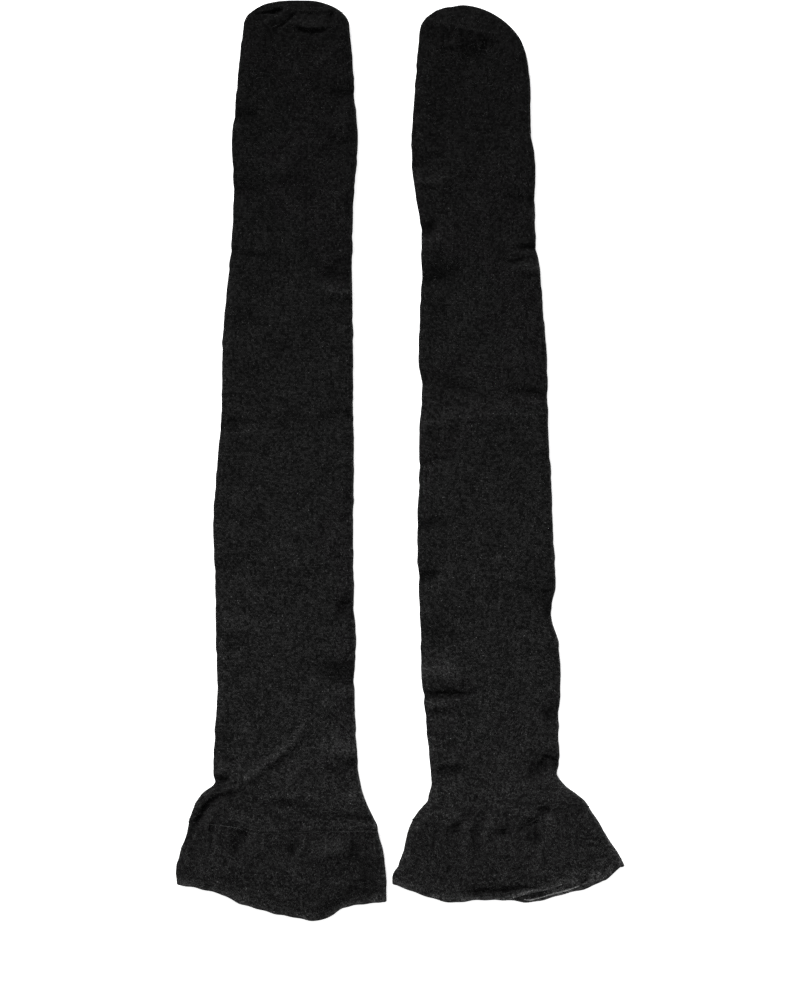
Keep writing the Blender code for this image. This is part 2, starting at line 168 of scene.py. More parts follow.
PHOTO_SCALE = 0.70 * MM  # one pixel of the 800 by 1000 photograph
PHOTO_HEIGHT = 1000
PHOTO_CENTRE_BELOW_PAIR = 39.5  # pixels from the middle of the pair down to the photograph's
CAMERA_HEIGHT = 2.2
SENSOR = 36.0
FLOOR_BELOW = 0.2 * MM


def table(columns, rows):
    """A table as one array for each named column."""
    return dict(zip(columns.split(), np.array(rows, float).T))


# How thick the flattened sock is, both layers and the air between them.
THICKNESS = table(
    "along thick",
    [
        (-62, 5.4),
        (-25, 5.8),
        (3, 5.8),
        (16, 5.2),
        (42, 4.4),
        (90, 4.2),
        (500, 4.2),
        (560, 3.8),
    ],
)

# Sections of each sock: its reach to the left and to the right of its centre line.
LEFT_SECTIONS = table(
    "along left right",
    [
        (-50, 77.5, 68.5),
        (-38, 78.5, 68.5),
        (-28, 79, 68),
        (-17, 76.5, 66.5),
        (-7, 73.5, 64),
        (4, 70.5, 61.5),
        (14, 67.5, 56.5),
        (25, 61, 52),
        (33, 52.5, 50),
        (40, 53, 49),
        (67, 52, 47),
        (98, 50, 46),
        (130, 51, 47),
        (171, 51.5, 45.5),
        (213, 53, 45),
        (245, 51, 45.5),
        (276, 48.5, 45.5),
        (298, 47, 45),
        (340, 46.5, 45),
        (371, 44, 44.5),
        (402, 41, 44.5),
        (434, 39, 45),
        (455, 39, 46.5),
        (481, 40, 48.5),
        (507, 37.5, 46.5),
        (539, 34.5, 44.5),
        (560, 32, 42.5),
    ],
)
RIGHT_SECTIONS = table(
    "along left right",
    [
        (-50, 67.5, 96),
        (-38, 67.3, 96),
        (-32, 67, 96),
        (-25, 63.3, 95),
        (-16, 59.8, 90.5),
        (-7, 57.8, 84),
        (4, 54.5, 78),
        (14, 48, 71.5),
        (20, 43, 67.5),
        (25, 41.5, 61.5),
        (31, 40, 53.5),
        (39, 40.5, 48),
        (46, 41, 50),
        (67, 43, 49),
        (88, 45, 50),
        (108, 47, 50.5),
        (130, 47.5, 49),
        (150, 48, 44.5),
        (171, 49, 47),
        (213, 50, 45),
        (245, 48.5, 44),
        (276, 48.5, 42),
        (306, 46.5, 41.5),
        (329, 49, 41),
        (360, 48, 38.5),
        (392, 47, 36),
        (413, 47, 33),
        (444, 51, 32.5),
        (462, 53.5, 33),
        (476, 54, 31.5),
        (491, 53.5, 29.5),
        (518, 51.5, 29.5),
        (539, 50, 27),
        (560, 48, 25),
    ],
)

# The line of the cuff seam, and the hem of the top layer and of the under layer.
LEFT_SEAM = table(
    "across along",
    [(0, 5.5), (0.22, 2), (0.38, -2.5), (0.68, -1.5), (1, -0.5)],
)
RIGHT_SEAM = table(
    "across along",
    [(0, 7), (0.22, 0.5), (0.45, 1), (0.63, 3), (0.78, 11.5), (1, 16)],
)
LEFT_HEM = table(
    "across top under",
    [
        (0, -38, -37.5),
        (0.1, -40.5, -40),
        (0.19, -43.8, -43.2),
        (0.3, -51, -50.4),
        (0.55, -60.2, -59.6),
        (0.68, -62.8, -62.2),
        (0.75, -59.2, -58.6),
        (0.81, -53.5, -52.9),
        (0.9, -51.5, -50.9),
        (1, -49.5, -49),
    ],
)
RIGHT_HEM = table(
    "across top under",
    [
        (0, -38, -37.5),
        (0.12, -44.8, -44.2),
        (0.25, -50, -49.4),
        (0.34, -48.6, -48.2),
        (0.49, -48.2, -48.6),
        (0.58, -44.2, -50.4),
        (0.7, -39.8, -46.9),
        (0.77, -36.6, -43.6),
        (0.85, -37.2, -40.6),
        (0.93, -34.2, -34.6),
        (1, -25, -24.6),
    ],
)

# The round of each toe: two quarter curves that meet at its highest point.
LEFT_TOE = {"peak_across": 0.5, "rise": 20.0, "fall": 0.0, "power": (2.4, 2.4)}
RIGHT_TOE = {"peak_across": 0.39, "rise": 16.5, "fall": 21.0, "power": (1.95, 1.8)}

# Creases of the top layer: a soft ridge (rise above 0) or trough (below 0) from one place to
# another. "before" is its reach on the side that faces the window, towards the toe and the left,
# and "after" its reach on the other side. It bows sideways by bow, and starts at full strength
# where hold is 1.
CREASE_COLUMNS = "across along to_across to_along before after rise bow hold"
LEFT_CREASES = table(
    CREASE_COLUMNS,
    [
        (0.355, 572.3, 0.27, 571.8, 1.6, 1.7, -2.3, 0, 1),
        (0.31, 570.9, 0.1, 570, 0.9, 1.1, -1.3, 0, 1),
        (0.48, 569.6, 0.27, 557, 0.6, 0.9, -1.2, 0.5, 1),
        (0.45, 562, 0.92, 566.5, 6, 0.8, 1.1, -4.8, 0),
        (0.46, 563, 0.9, 566, 7, 1.8, 0.85, -3, 0),
        (0.84, 569.5, 0.83, 561, 1.6, 1.8, -1.9, 0, 1),
        (0.36, 573.6, 0.95, 572, 3.5, 1.6, 0.45, 0, 0),
        (0.52, 570.6, 0.9, 570.2, 0.8, 0.9, -0.25, 0, 0),
        (0.2, 563, 0.34, 566, 3.5, 3, 0.6, 0, 0),
        (1, 513.6, 0.72, 512.6, 4, 6, -1.4, 0, 1),
        (0, 499, 0.28, 499.5, 4.5, 6, -1.4, 0, 1),
        (1, 480, 0.7, 481, 4.5, 6, -0.8, 0, 1),
        (0, 447, 0.4, 449, 9, 7, -1.2, 0, 1),
        (0.04, 404, 0.64, 391, 3.5, 5, -1.2, -1, 1),
        (1, 388, 0.66, 389, 10, 8, -1.5, 0, 1),
        (1, 396, 0.82, 396.5, 2.4, 4, -0.9, 0, 1),
        (0.32, 380, 0.03, 352, 1.6, 2.2, 0.4, 3, 0),
        (1, 374, 0.72, 375, 6, 5, 1.6, 0, 1),
        (0.14, 16, 0.085, -3, 2.5, 3, 0.6, 0, 0),
        (0.02, 305, 0.98, 296.5, 2.4, 3, 0.35, 1, 1),
        (1, 288, 0.66, 291, 3, 5, -1.1, 0, 1),
        (0, 281.5, 0.32, 282.5, 3.6, 5, -1.3, 0, 1),
        (0.25, 262, 0.55, 249, 3, 4, 0.5, -3, 0),
        (0.53, 250, 0.53, 229, 3, 4, 0.6, -1.5, 0),
        (0.86, 219, 0.85, 197, 3, 3.5, 0.8, 0.5, 0),
        (0.35, 208, 0.8, 212, 3, 4, 0.35, 0, 0),
        (0.97, 217.5, 0.84, 217.5, 3, 4, -0.7, 0, 0),
        (1, 187, 0.84, 187.5, 6, 7, -0.35, 0, 1),
        (1, 152, 0.82, 154.5, 6, 8, -2.8, 0, 1),
        (0, 142, 0.45, 138, 8, 6, 0.6, 0, 1),
        (1, 106, 0.64, 110.5, 9, 6, -1.9, 0, 1),
        (1, 96, 0.66, 80.5, 4, 4, 0.75, 0, 1),
        (0.98, 57, 0.7, 60, 9, 11, 2.2, 0, 1),
        (0.96, 42.5, 0.83, 43.5, 8, 9, -1.9, 0, 1),
        (1, 23, 0.86, 23.5, 4.5, 4.5, 1.1, 0, 1),
        (0, 58, 0.26, 62, 12, 12, -0.6, 0, 1),
        (0, 33.8, 0.13, 35, 2.8, 3, -3, 0, 1),
        (0.45, 18, 0.7, 15, 3.2, 3.5, -1.2, 0, 0),
        (1, 6.5, 0.6, 12, 2.6, 3.2, -1.2, 1, 1),
        (1, 1, 0.6, 7, 2.5, 3, 0.2, 0, 1),
        (0.2, 10, 0.95, 8, 16, 14, -0.6, 0, 1),
    ],
)
RIGHT_CREASES = table(
    CREASE_COLUMNS,
    [
        (0.08, 563.8, 0.92, 551.6, 7, 4.2, 1.2, 0, 0),
        (0.34, 543.5, 0.76, 541.5, 7, 7, -1.3, 0, 0),
        (0.63, 553, 0.6, 539, 2.2, 2.6, -0.6, 0, 0),
        (0.17, 544.8, 0.44, 545.2, 1, 1.4, -0.55, 0, 0),
        (0.28, 550, 0.38, 550, 3, 3, 1, 0, 0),
        (0.8, 545, 0.98, 538, 7, 6, 0.7, 0, 0),
        (0, 501, 0.22, 502, 4, 7, -0.6, 0, 1),
        (0, 470, 0.28, 471, 5, 7, -0.95, 0, 1),
        (0, 451.5, 0.34, 451, 5, 4.5, 1.25, 0, 1),
        (1, 439.5, 0.68, 441.5, 3.6, 5, -1, 0, 1),
        (0, 420.5, 0.2, 421.5, 4, 5, -1.8, 0, 1),
        (0, 408, 0.36, 407, 6, 4, 0.9, 0, 1),
        (1, 405.2, 0.78, 407, 2.2, 2.6, -1.8, 0, 1),
        (0.94, 399.5, 0.64, 395, 2, 3, -1.1, 0, 0),
        (1, 391.5, 0.78, 393, 4.5, 5, 1.1, 0, 1),
        (0, 387.6, 0.42, 389.1, 5.5, 6, -3, 0, 1),
        (0, 315, 0.5, 303.5, 5, 5.5, -1.4, 0, 1),
        (1, 302, 0.66, 305, 4, 4.5, -1.6, 0, 1),
        (0, 281, 1, 288.5, 9, 6, 0.9, 2, 1),
        (0, 252, 0.3, 263, 3, 4, -0.7, 0, 1),
        (0, 213, 0.28, 214, 4, 5, -1.5, 0, 1),
        (0, 176, 0.22, 177, 3.5, 5, -1.9, 0, 1),
        (1, 160, 0.64, 167.5, 6, 5, -1.6, 0, 1),
        (0.95, 166, 0.95, 137, 3, 3, -3.4, -1, 0),
        (0, 131, 0.3, 133, 9, 7, -1.4, 0, 1),
        (0, 110, 0.38, 111, 6, 6, 2.3, 0, 1),
        (0, 93.4, 0.42, 94, 2.6, 4, -2.7, 0, 1),
        (0, 86.5, 0.3, 87, 4, 4, 0.9, 0, 1),
        (1, 80, 0.83, 76, 6, 6, -2, 0, 1),
        (0, 79.5, 0.25, 80, 3, 5, -0.6, 0, 1),
        (0.05, 41.2, 0.37, 42, 3.2, 3.8, -2.4, 0, 0),
        (1, 46.4, 0.85, 51, 2, 5.5, -2.3, 0, 1),
        (0.885, 51, 0.87, 39, 2.4, 3, -2.1, 0, 1),
        (0.875, 43, 0.72, 33.5, 3, 4, -1.5, 0, 1),
        (0.85, 48, 0.75, 32, 8, 7, -2.3, 0, 0),
        (1, 31, 0.88, 28, 4, 5, 0.9, 0, 1),
    ],
)

# Gathers of the cuff under its seam, and its larger dents, in the same columns.
LEFT_GATHERS = table(
    CREASE_COLUMNS,
    [
        (0.305, -4.5, 0.278, -19, 3.6, 4.2, -2.6, 0, 1),
        (0.36, -2, 0.38, -12, 3, 3, 0.8, 0, 1),
        (0.56, -9, 0.553, -23, 2.8, 3, -2, 0, 0),
        (0.69, -14.2, 0.85, -13.7, 7, 3.5, 2.3, 0, 0),
        (0.862, -10, 0.845, -27, 3, 3.5, -1.9, 0, 0),
        (0.96, -18, 0.91, -44, 11, 10, -1.3, 0, 0),
        (0.74, -60, 1, -38, 10, 9, -3, 0, 1),
        (0.03, -33, 0.25, -44, 3, 3, -0.7, 0, 0),
        (0, -5, 2.5, -5, 30, 45, -0.36, 0, 1),
    ],
)
RIGHT_GATHERS = table(
    CREASE_COLUMNS,
    [
        (0.1, 6.5, 0.2, 4, 2.5, 3, -0.7, 0, 0),
        (0.29, 8.5, 0.2, -6, 3.4, 3.6, -1.25, 0, 1),
        (0.31, 1, 0.318, -18, 2, 2, 1.1, 0, 1),
        (0.355, 1, 0.342, -30, 2.6, 3, -1.7, 0, 1),
        (0.35, 6.5, 0.45, 5.5, 3.5, 3, -1.1, 0, 0),
        (0.42, 4, 0.42, -4, 2.4, 2.4, 0.8, 0, 1),
        (0.45, -4, 0.53, -3.5, 3.5, 3, -1.6, 0, 0),
        (0.49, 4, 0.48, -8, 3, 3.5, -0.9, 0, 1),
        (0.57, 2, 0.56, -14, 3, 3, 0.8, 0, 1),
        (0.58, 0.5, 0.71, 7, 3.5, 3.2, -1.6, 0, 0),
        (0.6, -6.5, 0.69, -5.5, 6, 4, -1.1, 0, 0),
        (0.66, 3, 0.635, -17, 3.2, 3.6, -1.5, 0, 1),
        (0.69, 11.3, 0.82, 14.5, 3.2, 3, -2, 0, 0),
        (0.76, 8, 0.76, -4, 2.8, 3, 0.9, 0, 1),
        (0.825, 12, 0.81, 0, 3, 3, -1.5, 0, 1),
        (0.86, 10.5, 0.93, 9.5, 3, 3, -0.7, 0, 0),
        (0.9, 15.5, 0.97, 9, 2.4, 3, -0.3, 0, 0),
        (0.3, -46.5, 0.72, -40.2, 3.2, 2.6, -2.4, 0, 0),
        (0.812, -37, 0.85, -32.5, 1.2, 1.4, -1.6, 0, 1),
    ],
)

# The two folds of the left sock that wind: the long one from its right edge down to the flare, and
# the pocket that goes on from there beside its left edge. A fold has a strength at each place.
# It is a ridge or trough with a reach on either side, as for creases.
LONG_FOLD = {
    "path": table(
        "across along strength",
        [
            (1, 100, 0),
            (0.84, 92, 0.04),
            (0.7, 84, 0.2),
            (0.6, 66, 0.7),
            (0.48, 54, 1.35),
            (0.4, 47, 1.25),
            (0.26, 37, 0.85),
            (0.15, 29, 0.1),
            (0.05, 21, 0),
        ],
    ),
    "before": 2.8,
    "after": 3.2,
    "rise": 1.3,
}
POCKET = {
    "path": table(
        "across along strength",
        [
            (0.27, 27.5, 0),
            (0.19, 24.3, 0.35),
            (0.12, 22.4, 0.45),
            (0.085, 19, 0.75),
            (0.062, 9.6, 1),
            (0.04, 2.9, 1),
            (0.026, -2.3, 0.9),
            (0.018, -7, 0.6),
            (0.01, -12, 0),
        ],
    ),
    "before": 2.2,
    "after": 3.0,
    "rise": -3.0,
}

# The linked toe seam, over the top of the toe from its left end to its right one.
LEFT_TOE_SEAM = table(
    "across along",
    [(0.36, 574.4), (0.42, 574.6), (0.5, 572.8), (0.76, 571), (0.93, 571.6)],
)
RIGHT_TOE_SEAM = table(
    "across along",
    [(0.05, 568), (0.25, 563.5), (0.36, 562.5), (0.54, 558.5), (0.78, 556)],
)

# Painted highlight at the hem of the cuff, and painted light in the shade of its mouth: how much
# paler the cloth is painted at the hem, as a share, how far up from the hem it fades, how much
# paler still the round of the hem is painted, and how much paler the inside is painted near it.
LEFT_HEM_LIGHT = table(
    "across pale reach rim inside",
    [
        (0, 1.5, 2.4, 2.3, 0.5),
        (0.3, 1.4, 2.4, 2.3, 0.5),
        (0.68, 1.3, 2, 2.3, 0.5),
        (0.85, 2.7, 1.9, 2.3, 0.5),
        (1, 2.5, 2, 2.3, 0.5),
    ],
)
RIGHT_HEM_LIGHT = table(
    "across pale reach rim inside",
    [
        (0, 1.7, 2.6, 2.3, 0.5),
        (0.35, 1.7, 2.2, 2.3, 0.5),
        (0.54, 2.6, 1.7, 8, 1),
        (0.66, 2.8, 1.7, 9, 1.5),
        (0.71, 2.8, 2, 9, 6.5),
        (0.79, 2.6, 3.5, 5, 6.5),
        (0.9, 2, 5, 2.3, 2),
        (1, 1.8, 5, 2.3, 0.5),
    ],
)

# How far the linking stitches stand out of the cuff seam, and how much paler they are painted
# there: partly the yarn's own tone matched to the cloth, partly painted highlight where they stand
# out in shade.
LEFT_LINKING = table(
    "across lift pale",
    [
        (0, -0.05, 0.35),
        (0.085, -0.08, 0.2),
        (0.105, 0.2, 1.8),
        (0.25, 0.22, 2.2),
        (0.285, 0.05, 0.8),
        (0.31, 0.4, 3.2),
        (0.39, 0.4, 3),
        (0.43, -0.05, 0.35),
        (0.75, -0.05, 0.35),
        (0.82, 0.1, 1.3),
        (0.91, 0.1, 1.3),
        (0.95, 0.25, 2.4),
        (1, 0.25, 2.4),
    ],
)
RIGHT_LINKING = table(
    "across lift pale",
    [(0, -0.06, 0.3), (0.5, -0.12, 0.1), (1, -0.06, 0.3)],
)

# A pale thread painted in the gaping mouth of the right cuff, where bright light shows through
# between the layers, and its half thickness.
GAP_LIGHT_THREAD = table(
    "across along radius",
    [
        (0.565, -48.9, 0.25),
        (0.59, -49.2, 0.55),
        (0.634, -47.7, 0.32),
        (0.679, -45.4, 0.48),
        (0.733, -43.2, 0.5),
        (0.79, -40.1, 0.36),
        (0.805, -38.8, 0.12),
    ],
)

SOCKS = {
    "left": {
        "centre": -77.0,
        "sections": LEFT_SECTIONS,
        "seam": LEFT_SEAM,
        "hem": LEFT_HEM,
        "toe": LEFT_TOE,
        "toe_seam": LEFT_TOE_SEAM,
        "creases": [LEFT_CREASES, LEFT_GATHERS],
        "folds": [LONG_FOLD, POCKET],
        "lit_hem": LEFT_HEM_LIGHT,
        "linking": LEFT_LINKING,
        "seed": 3,
    },
    "right": {
        "centre": 62.6,
        "sections": RIGHT_SECTIONS,
        "seam": RIGHT_SEAM,
        "hem": RIGHT_HEM,
        "toe": RIGHT_TOE,
        "toe_seam": RIGHT_TOE_SEAM,
        "creases": [RIGHT_CREASES, RIGHT_GATHERS],
        "folds": [],
        "lit_hem": RIGHT_HEM_LIGHT,
        "linking": RIGHT_LINKING,
        "seed": 8,
    },
}


def smooth_step(value):
    """0 below 0, 1 above 1, and a smooth rise between them."""
    value = np.clip(value, 0.0, 1.0)
    return value * value * (3.0 - 2.0 * value)


def unit(vectors):
    """The same directions, each with a length of 1."""
    return vectors / np.linalg.norm(vectors, axis=-1, keepdims=True)


def waves(way, kinds):
    """A sum of sine waves, each with its length, its share and its start."""
    return sum(share * np.sin(way / length + start) for length, share, start in kinds)


def smooth_curve(stations, values, at):
    """A smooth curve through the rows of a table.

    Each stretch is a cubic. Its slope at a row is the harmonic mean of the slopes on either side,
    and level at a peak or a dip, so the curve never swings past its rows.
    """
    steps = np.diff(stations)
    slopes = np.diff(values) / steps
    before, after = slopes[:-1], slopes[1:]
    same_way = before * after > 0
    total = np.where(same_way, before + after, 1.0)
    inner = np.where(same_way, 2.0 * before * after / total, 0.0)
    tangents = np.concatenate([slopes[:1], inner, slopes[-1:]])
    at = np.clip(at, stations[0], stations[-1])
    row = np.clip(np.searchsorted(stations, at, side="right") - 1, 0, len(steps) - 1)
    step = steps[row]
    t = (at - stations[row]) / step
    start = (1 + 2 * t) * (1 - t) ** 2 * values[row] + t * (1 - t) ** 2 * step * tangents[row]
    end = t * t * (3 - 2 * t) * values[row + 1] - t * t * (1 - t) * step * tangents[row + 1]
    return start + end


def edges(sock, along):
    """The left and right edges of a sock at heights along it, from its centre line."""
    sections = sock["sections"]
    left = smooth_curve(sections["along"], sections["left"], along)
    right = smooth_curve(sections["along"], sections["right"], along)
    return -left, right


def thickness(along):
    """How thick the flattened sock is at heights along it."""
    return smooth_curve(THICKNESS["along"], THICKNESS["thick"], along)


def toe_height(toe, across):
    """Height of the toe's round above the toe line.

    Each side is a quarter of a superellipse: (distance from the peak)^n + (height)^n = 1.
    """
    peak = toe["peak_across"]
    on_left = across < peak
    reach = np.where(on_left, (peak - across) / peak, (across - peak) / (1.0 - peak))
    power = np.where(on_left, *toe["power"])
    rise = np.where(on_left, toe["rise"], toe["rise"] + toe["fall"])
    quarter = (1.0 - np.clip(reach, 0.0, 1.0) ** power) ** (1.0 / power)
    return toe["rise"] - rise * (1.0 - quarter)


def columns(count):
    """Places across the sock, a little closer together towards both edges."""
    even = np.linspace(0.0, 1.0, count + 1)
    rounded = (1.0 - np.cos(np.pi * even)) / 2.0
    return even + (rounded - even) * EDGE_CROWDING


def seam_line(sock, across):
    """Height of the cuff seam at places across the sock."""
    return smooth_curve(sock["seam"]["across"], sock["seam"]["along"], across)


def spread(sock, across, along):
    """Plan places of the grid: each row runs straight from the left edge to the right one.

    The plan stops half a thickness short of the outline, where the rounded edge takes over.
    """
    left, _ = edges(sock, along[:, :1])
    _, right = edges(sock, along[:, -1:])
    left = left + thickness(along[:, :1]) / 2.0
    right = right - thickness(along[:, -1:]) / 2.0
    return left + (right - left) * across


def leg_plan(sock):
    """Plan of the leg: rows leave the line of the cuff seam and bow into the round of the toe."""
    across = columns(LEG_COLUMNS)
    share = np.linspace(0.0, 1.0, LEG_ROWS)
    step = 1.0 - TOE_ROWS_CLOSER * smooth_step((share - TOE_ROWS_FROM) / TOE_ROWS_EASE)
    rows = np.concatenate([[0.0], np.cumsum(step) / step.sum()])[:, None] * TOE_LINE
    toe = toe_height(sock["toe"], across) - thickness(TOE_LINE) / 2.0
    near_seam = 1.0 - smooth_step(rows / SEAM_BEND_LENGTH)
    near_toe = smooth_step((rows - TOE_LINE + TOE_BEND_LENGTH) / TOE_BEND_LENGTH)
    along = rows + seam_line(sock, across) * near_seam + toe * near_toe
    return spread(sock, across, along), along


def cuff_plan(sock, layer):
    """Plan of one layer of the cuff, its rows spread evenly from the hem to the cuff seam."""
    across = columns(CUFF_COLUMNS)
    share = np.linspace(0.0, 1.0, CUFF_ROWS + 1)[:, None]
    hem = smooth_curve(sock["hem"]["across"], sock["hem"][layer], across)
    for (rise, pace), start in zip(HEM_WAVES, (sock["seed"], 0.0)):
        hem = hem + rise * np.sin(across * pace + start)
    along = hem + (seam_line(sock, across) - SEAM_GAP - hem) * share
    return spread(sock, across, along), along


def place(sock, across, along):
    """Plan place of a point that a table gives by across and along."""
    left, right = edges(sock, along)
    return np.array([left + (right - left) * across, along + 0.0 * across])


def bell(sideways, beyond, before, after):
    """A soft profile: a bell curve with its own reach on each side, rounded off past its ends."""
    reach = np.where(sideways > 0.0, before, after)
    return np.exp(-((sideways / reach) ** 2) - (beyond / ((before + after) / 2.0)) ** 2)


def facing_window(run):
    """1 where the left-hand side of a direction faces the window, and -1 where its right does."""
    return np.where(run[0] * WINDOW_SIDE[1] - run[1] * WINDOW_SIDE[0] > 0.0, 1.0, -1.0)


def crease_wave(kind, number, forward, width):
    """A sine wave along a crease, of its own kind and with its own shift."""
    return np.sin(forward / (kind["widths"] * width) + kind["shift"] * number)


def creased(sock, x, y):
    """How far the creases and gathers raise or sink the top layer at plan places x, y.

    A crease is a bell curve of the distance from its line. The line bows as a parabola and
    wanders a little, and the crease grows and shrinks along it. It fades at its far end, and at
    its near end too unless its hold is 1.
    """
    height = np.zeros_like(x)
    rows = [row for creases in sock["creases"] for row in zip(*creases.values())]
    for number, row in enumerate(rows):
        across, along, to_across, to_along, before, after, rise, bow, hold = row
        start = place(sock, across, along)
        run = place(sock, to_across, to_along) - start
        length = np.hypot(*run)
        run = run / length
        width = before + after
        forward = (x - start[0]) * run[0] + (y - start[1]) * run[1]
        sideways = (y - start[1]) * run[0] - (x - start[0]) * run[1]
        t = np.clip(forward / length, 0.0, 1.0)
        wander = WANDER["share"] * width * crease_wave(WANDER, number, forward, width)
        sideways = (sideways - bow * 4.0 * t * (1.0 - t) - wander) * facing_window(run)
        wider = 1.0 + WIDENING["share"] * crease_wave(WIDENING, number, forward, width)
        profile = bell(sideways, forward - t * length, before * wider, after * wider)
        near_end = np.where(hold > 0.5, 1.0, smooth_step(t * NEAR_FADE[0] + NEAR_FADE[1]))
        far_end = smooth_step((1.0 - t) * FAR_FADE[0] + FAR_FADE[1])
        growth = 1.0 + GROWTH["share"] * crease_wave(GROWTH, number, forward, width)
        height += rise * profile * near_end * far_end * growth
    for fold in sock["folds"]:
        height += winding(sock, fold, x, y)
    return height


def winding(sock, fold, x, y):
    """A fold that winds along a smooth line: the same profile as a crease, square to the line.

    The distance is taken to the nearest of many short steps along the line.
    """
    path = fold["path"]
    steps = np.linspace(0.0, 1.0, FOLD_STEPS)
    stations = np.linspace(0.0, 1.0, len(path["across"]))
    across, along, strength = (smooth_curve(stations, path[key], steps) for key in path)
    line = place(sock, across, along)
    run = np.gradient(line, axis=1)
    run /= np.hypot(*run)
    nearest = np.hypot(x[..., None] - line[0], y[..., None] - line[1]).argmin(axis=-1)
    dx, dy = x - line[0][nearest], y - line[1][nearest]
    run = run[:, nearest]
    sideways = (dy * run[0] - dx * run[1]) * facing_window(run)
    beyond = dx * run[0] + dy * run[1]
    return fold["rise"] * bell(sideways, beyond, fold["before"], fold["after"]) * strength[nearest]


def slack(sock, x, y):
    """Gentle unevenness of cloth that lies loose: a sum of long waves that run every way."""
    random = np.random.default_rng(sock["seed"])
    height = np.zeros_like(x)
    for wavelength in SLACK_WAVES:
        turn = random.uniform(0.0, np.pi)
        phase = random.uniform(0.0, 2.0 * np.pi)
        wave = np.sin((x * np.cos(turn) + y * np.sin(turn)) * 2.0 * np.pi / wavelength + phase)
        height += SLACK_RISE * wavelength * wave
    return height


def gathering(sock, across, x, above_seam):
    """The groove of the cuff seam and the small gathers that fan out from it on both sides."""
    groove = -GROOVE_DEPTH * np.exp(-((above_seam / GROOVE_REACH) ** 2))
    drift, drift_length = GATHER_DRIFT
    way = x + drift * np.sin(x / drift_length + sock["seed"])
    gathers = waves(way * 2.0 * np.pi, GATHER_WAVES)
    reach = np.where(above_seam < 0.0, *GATHER_REACH)
    return groove + GATHER_RISE * gathers * np.exp(-np.abs(above_seam) / reach)


def edge_roughness(sock, x, y):
    """How far the rounded edges stand out or draw in: short uneven waves along the outline."""
    way = y + 0.6 * x + 31.0 * sock["seed"]
    swell, swell_length = EDGE_SWELL
    return EDGE_ROUGHNESS * waves(way, EDGE_WAVES) * (1.0 + swell * np.sin(way / swell_length))


def across_of(sock, x, y):
    """Where plan places lie between the two edges of the sock, from 0 to 1."""
    left, right = edges(sock, y)
    return np.clip((x - left) / (right - left), 0.0, 1.0)


def edge_distance(sock, x, y):
    """How far a place is inside the sock's outline, from the sides and from the toe's round."""
    left, right = edges(sock, y)
    toe = TOE_LINE + toe_height(sock["toe"], across_of(sock, x, y)) - y
    return np.clip(np.minimum(np.minimum(x - left, right - x), toe), 0.0, None)


def top_height(sock, x, y, wall):
    """Height of the outside of the top layer, kept clear of the under layer's inside."""
    across = across_of(sock, x, y)
    thick = thickness(y)
    fall = EDGE_FALL * np.exp(-((edge_distance(sock, x, y) / EDGE_FALL_REACH) ** 2))
    raised = creased(sock, x, y) + slack(sock, x, y)
    raised = raised + gathering(sock, across, x, y - seam_line(sock, across))
    least = 2.0 * wall + LEAST_AIR + under_height(sock, x, y)
    above = thick * (1.0 - fall) + raised - least
    return least + np.logaddexp(0.0, above / SOFT_STOP) * SOFT_STOP


def under_height(sock, x, y):
    """Height of the outside of the under layer: 0 where it rests, more in its hollows.

    Its hollows are those of the top layer, mirrored across the sock and shifted along it.
    """
    left, right = edges(sock, y)
    mirrored = left + right - x
    hollow = -HOLLOW_SHARE * creased(sock, mirrored, y + HOLLOW_SHIFT)
    across = across_of(sock, x, y)
    above_seam = y - seam_line(sock, across)
    groove = GROOVE_DEPTH * np.exp(-((above_seam / GROOVE_REACH) ** 2))
    near_edge = smooth_step(edge_distance(sock, x, y) / HOLLOW_EASE)
    return np.clip(hollow, 0.0, HOLLOW_MOST) * near_edge + groove


def cells(grid):
    """Values at the four corners of each cell of a grid, counter-clockwise."""
    corners = [grid[:-1, :-1], grid[:-1, 1:], grid[1:, 1:], grid[1:, :-1]]
    return np.stack(corners, axis=-1).reshape(-1, 4)


def skin(top, under, low, high, radius, path, knit, tone):
    """One closed-round skin of a flattened tube: points, faces and the knitting's places.

    top and under are the plan places of the two layers as grids, low and high their heights, and
    tone how much paler each is painted, as painted highlight and shade. A point is x, y, z and its
    tone. The path lists the grid points of the edges, and half circles of the given radius join the
    layers along it, square to the path.
    The knitting runs on round the edges without a break.
    """
    grid = np.arange(low.size).reshape(low.shape)
    upper = np.dstack([*top, high, tone[1]]).reshape(-1, 4)
    lower = np.dstack([*under, low, tone[0]]).reshape(-1, 4)
    wales, courses = knit
    points = [upper, lower]
    faces = [cells(grid), cells(grid + grid.size)[:, ::-1]]
    places = [
        np.dstack([cells(wales), cells(courses)]),
        np.dstack([-cells(wales), cells(courses)])[:, ::-1],
    ]
    count = 2 * grid.size
    strips = []
    share = np.linspace(0.0, 1.0, EDGE_ARC_STEPS + 1)[:, None, None]
    for j, i, outward in path:
        first, last = upper[grid[j, i]], lower[grid[j, i]]
        bulge = radius[j, i][:, None]
        turn = np.pi * share[1:-1]
        arc = last + (first - last) * (1.0 + np.cos(turn)) / 2.0
        arc[..., :2] += outward * bulge * np.sin(turn)
        # Painted highlight on the arcs of the right edges, where light falls from the lower right
        arc[..., 3] += EDGE_HIGHLIGHT * np.clip(outward[:, 0], 0.0, None) * np.sin(turn)[..., 0]
        inner = np.arange(arc[..., 0].size).reshape(arc.shape[:2]) + count
        count += inner.size
        points.append(arc.reshape(-1, 4))
        strip = np.vstack([grid[j, i], inner, grid[j, i] + grid.size])
        around = np.stack([wales[j, i], courses[j, i]], axis=-1) + outward * bulge * np.pi * share
        faces.append(cells(strip))
        places.append(np.dstack([cells(around[..., 0]), cells(around[..., 1])]))
        strips.append(strip)
    return np.concatenate(points), np.concatenate(faces), np.concatenate(places), grid, strips


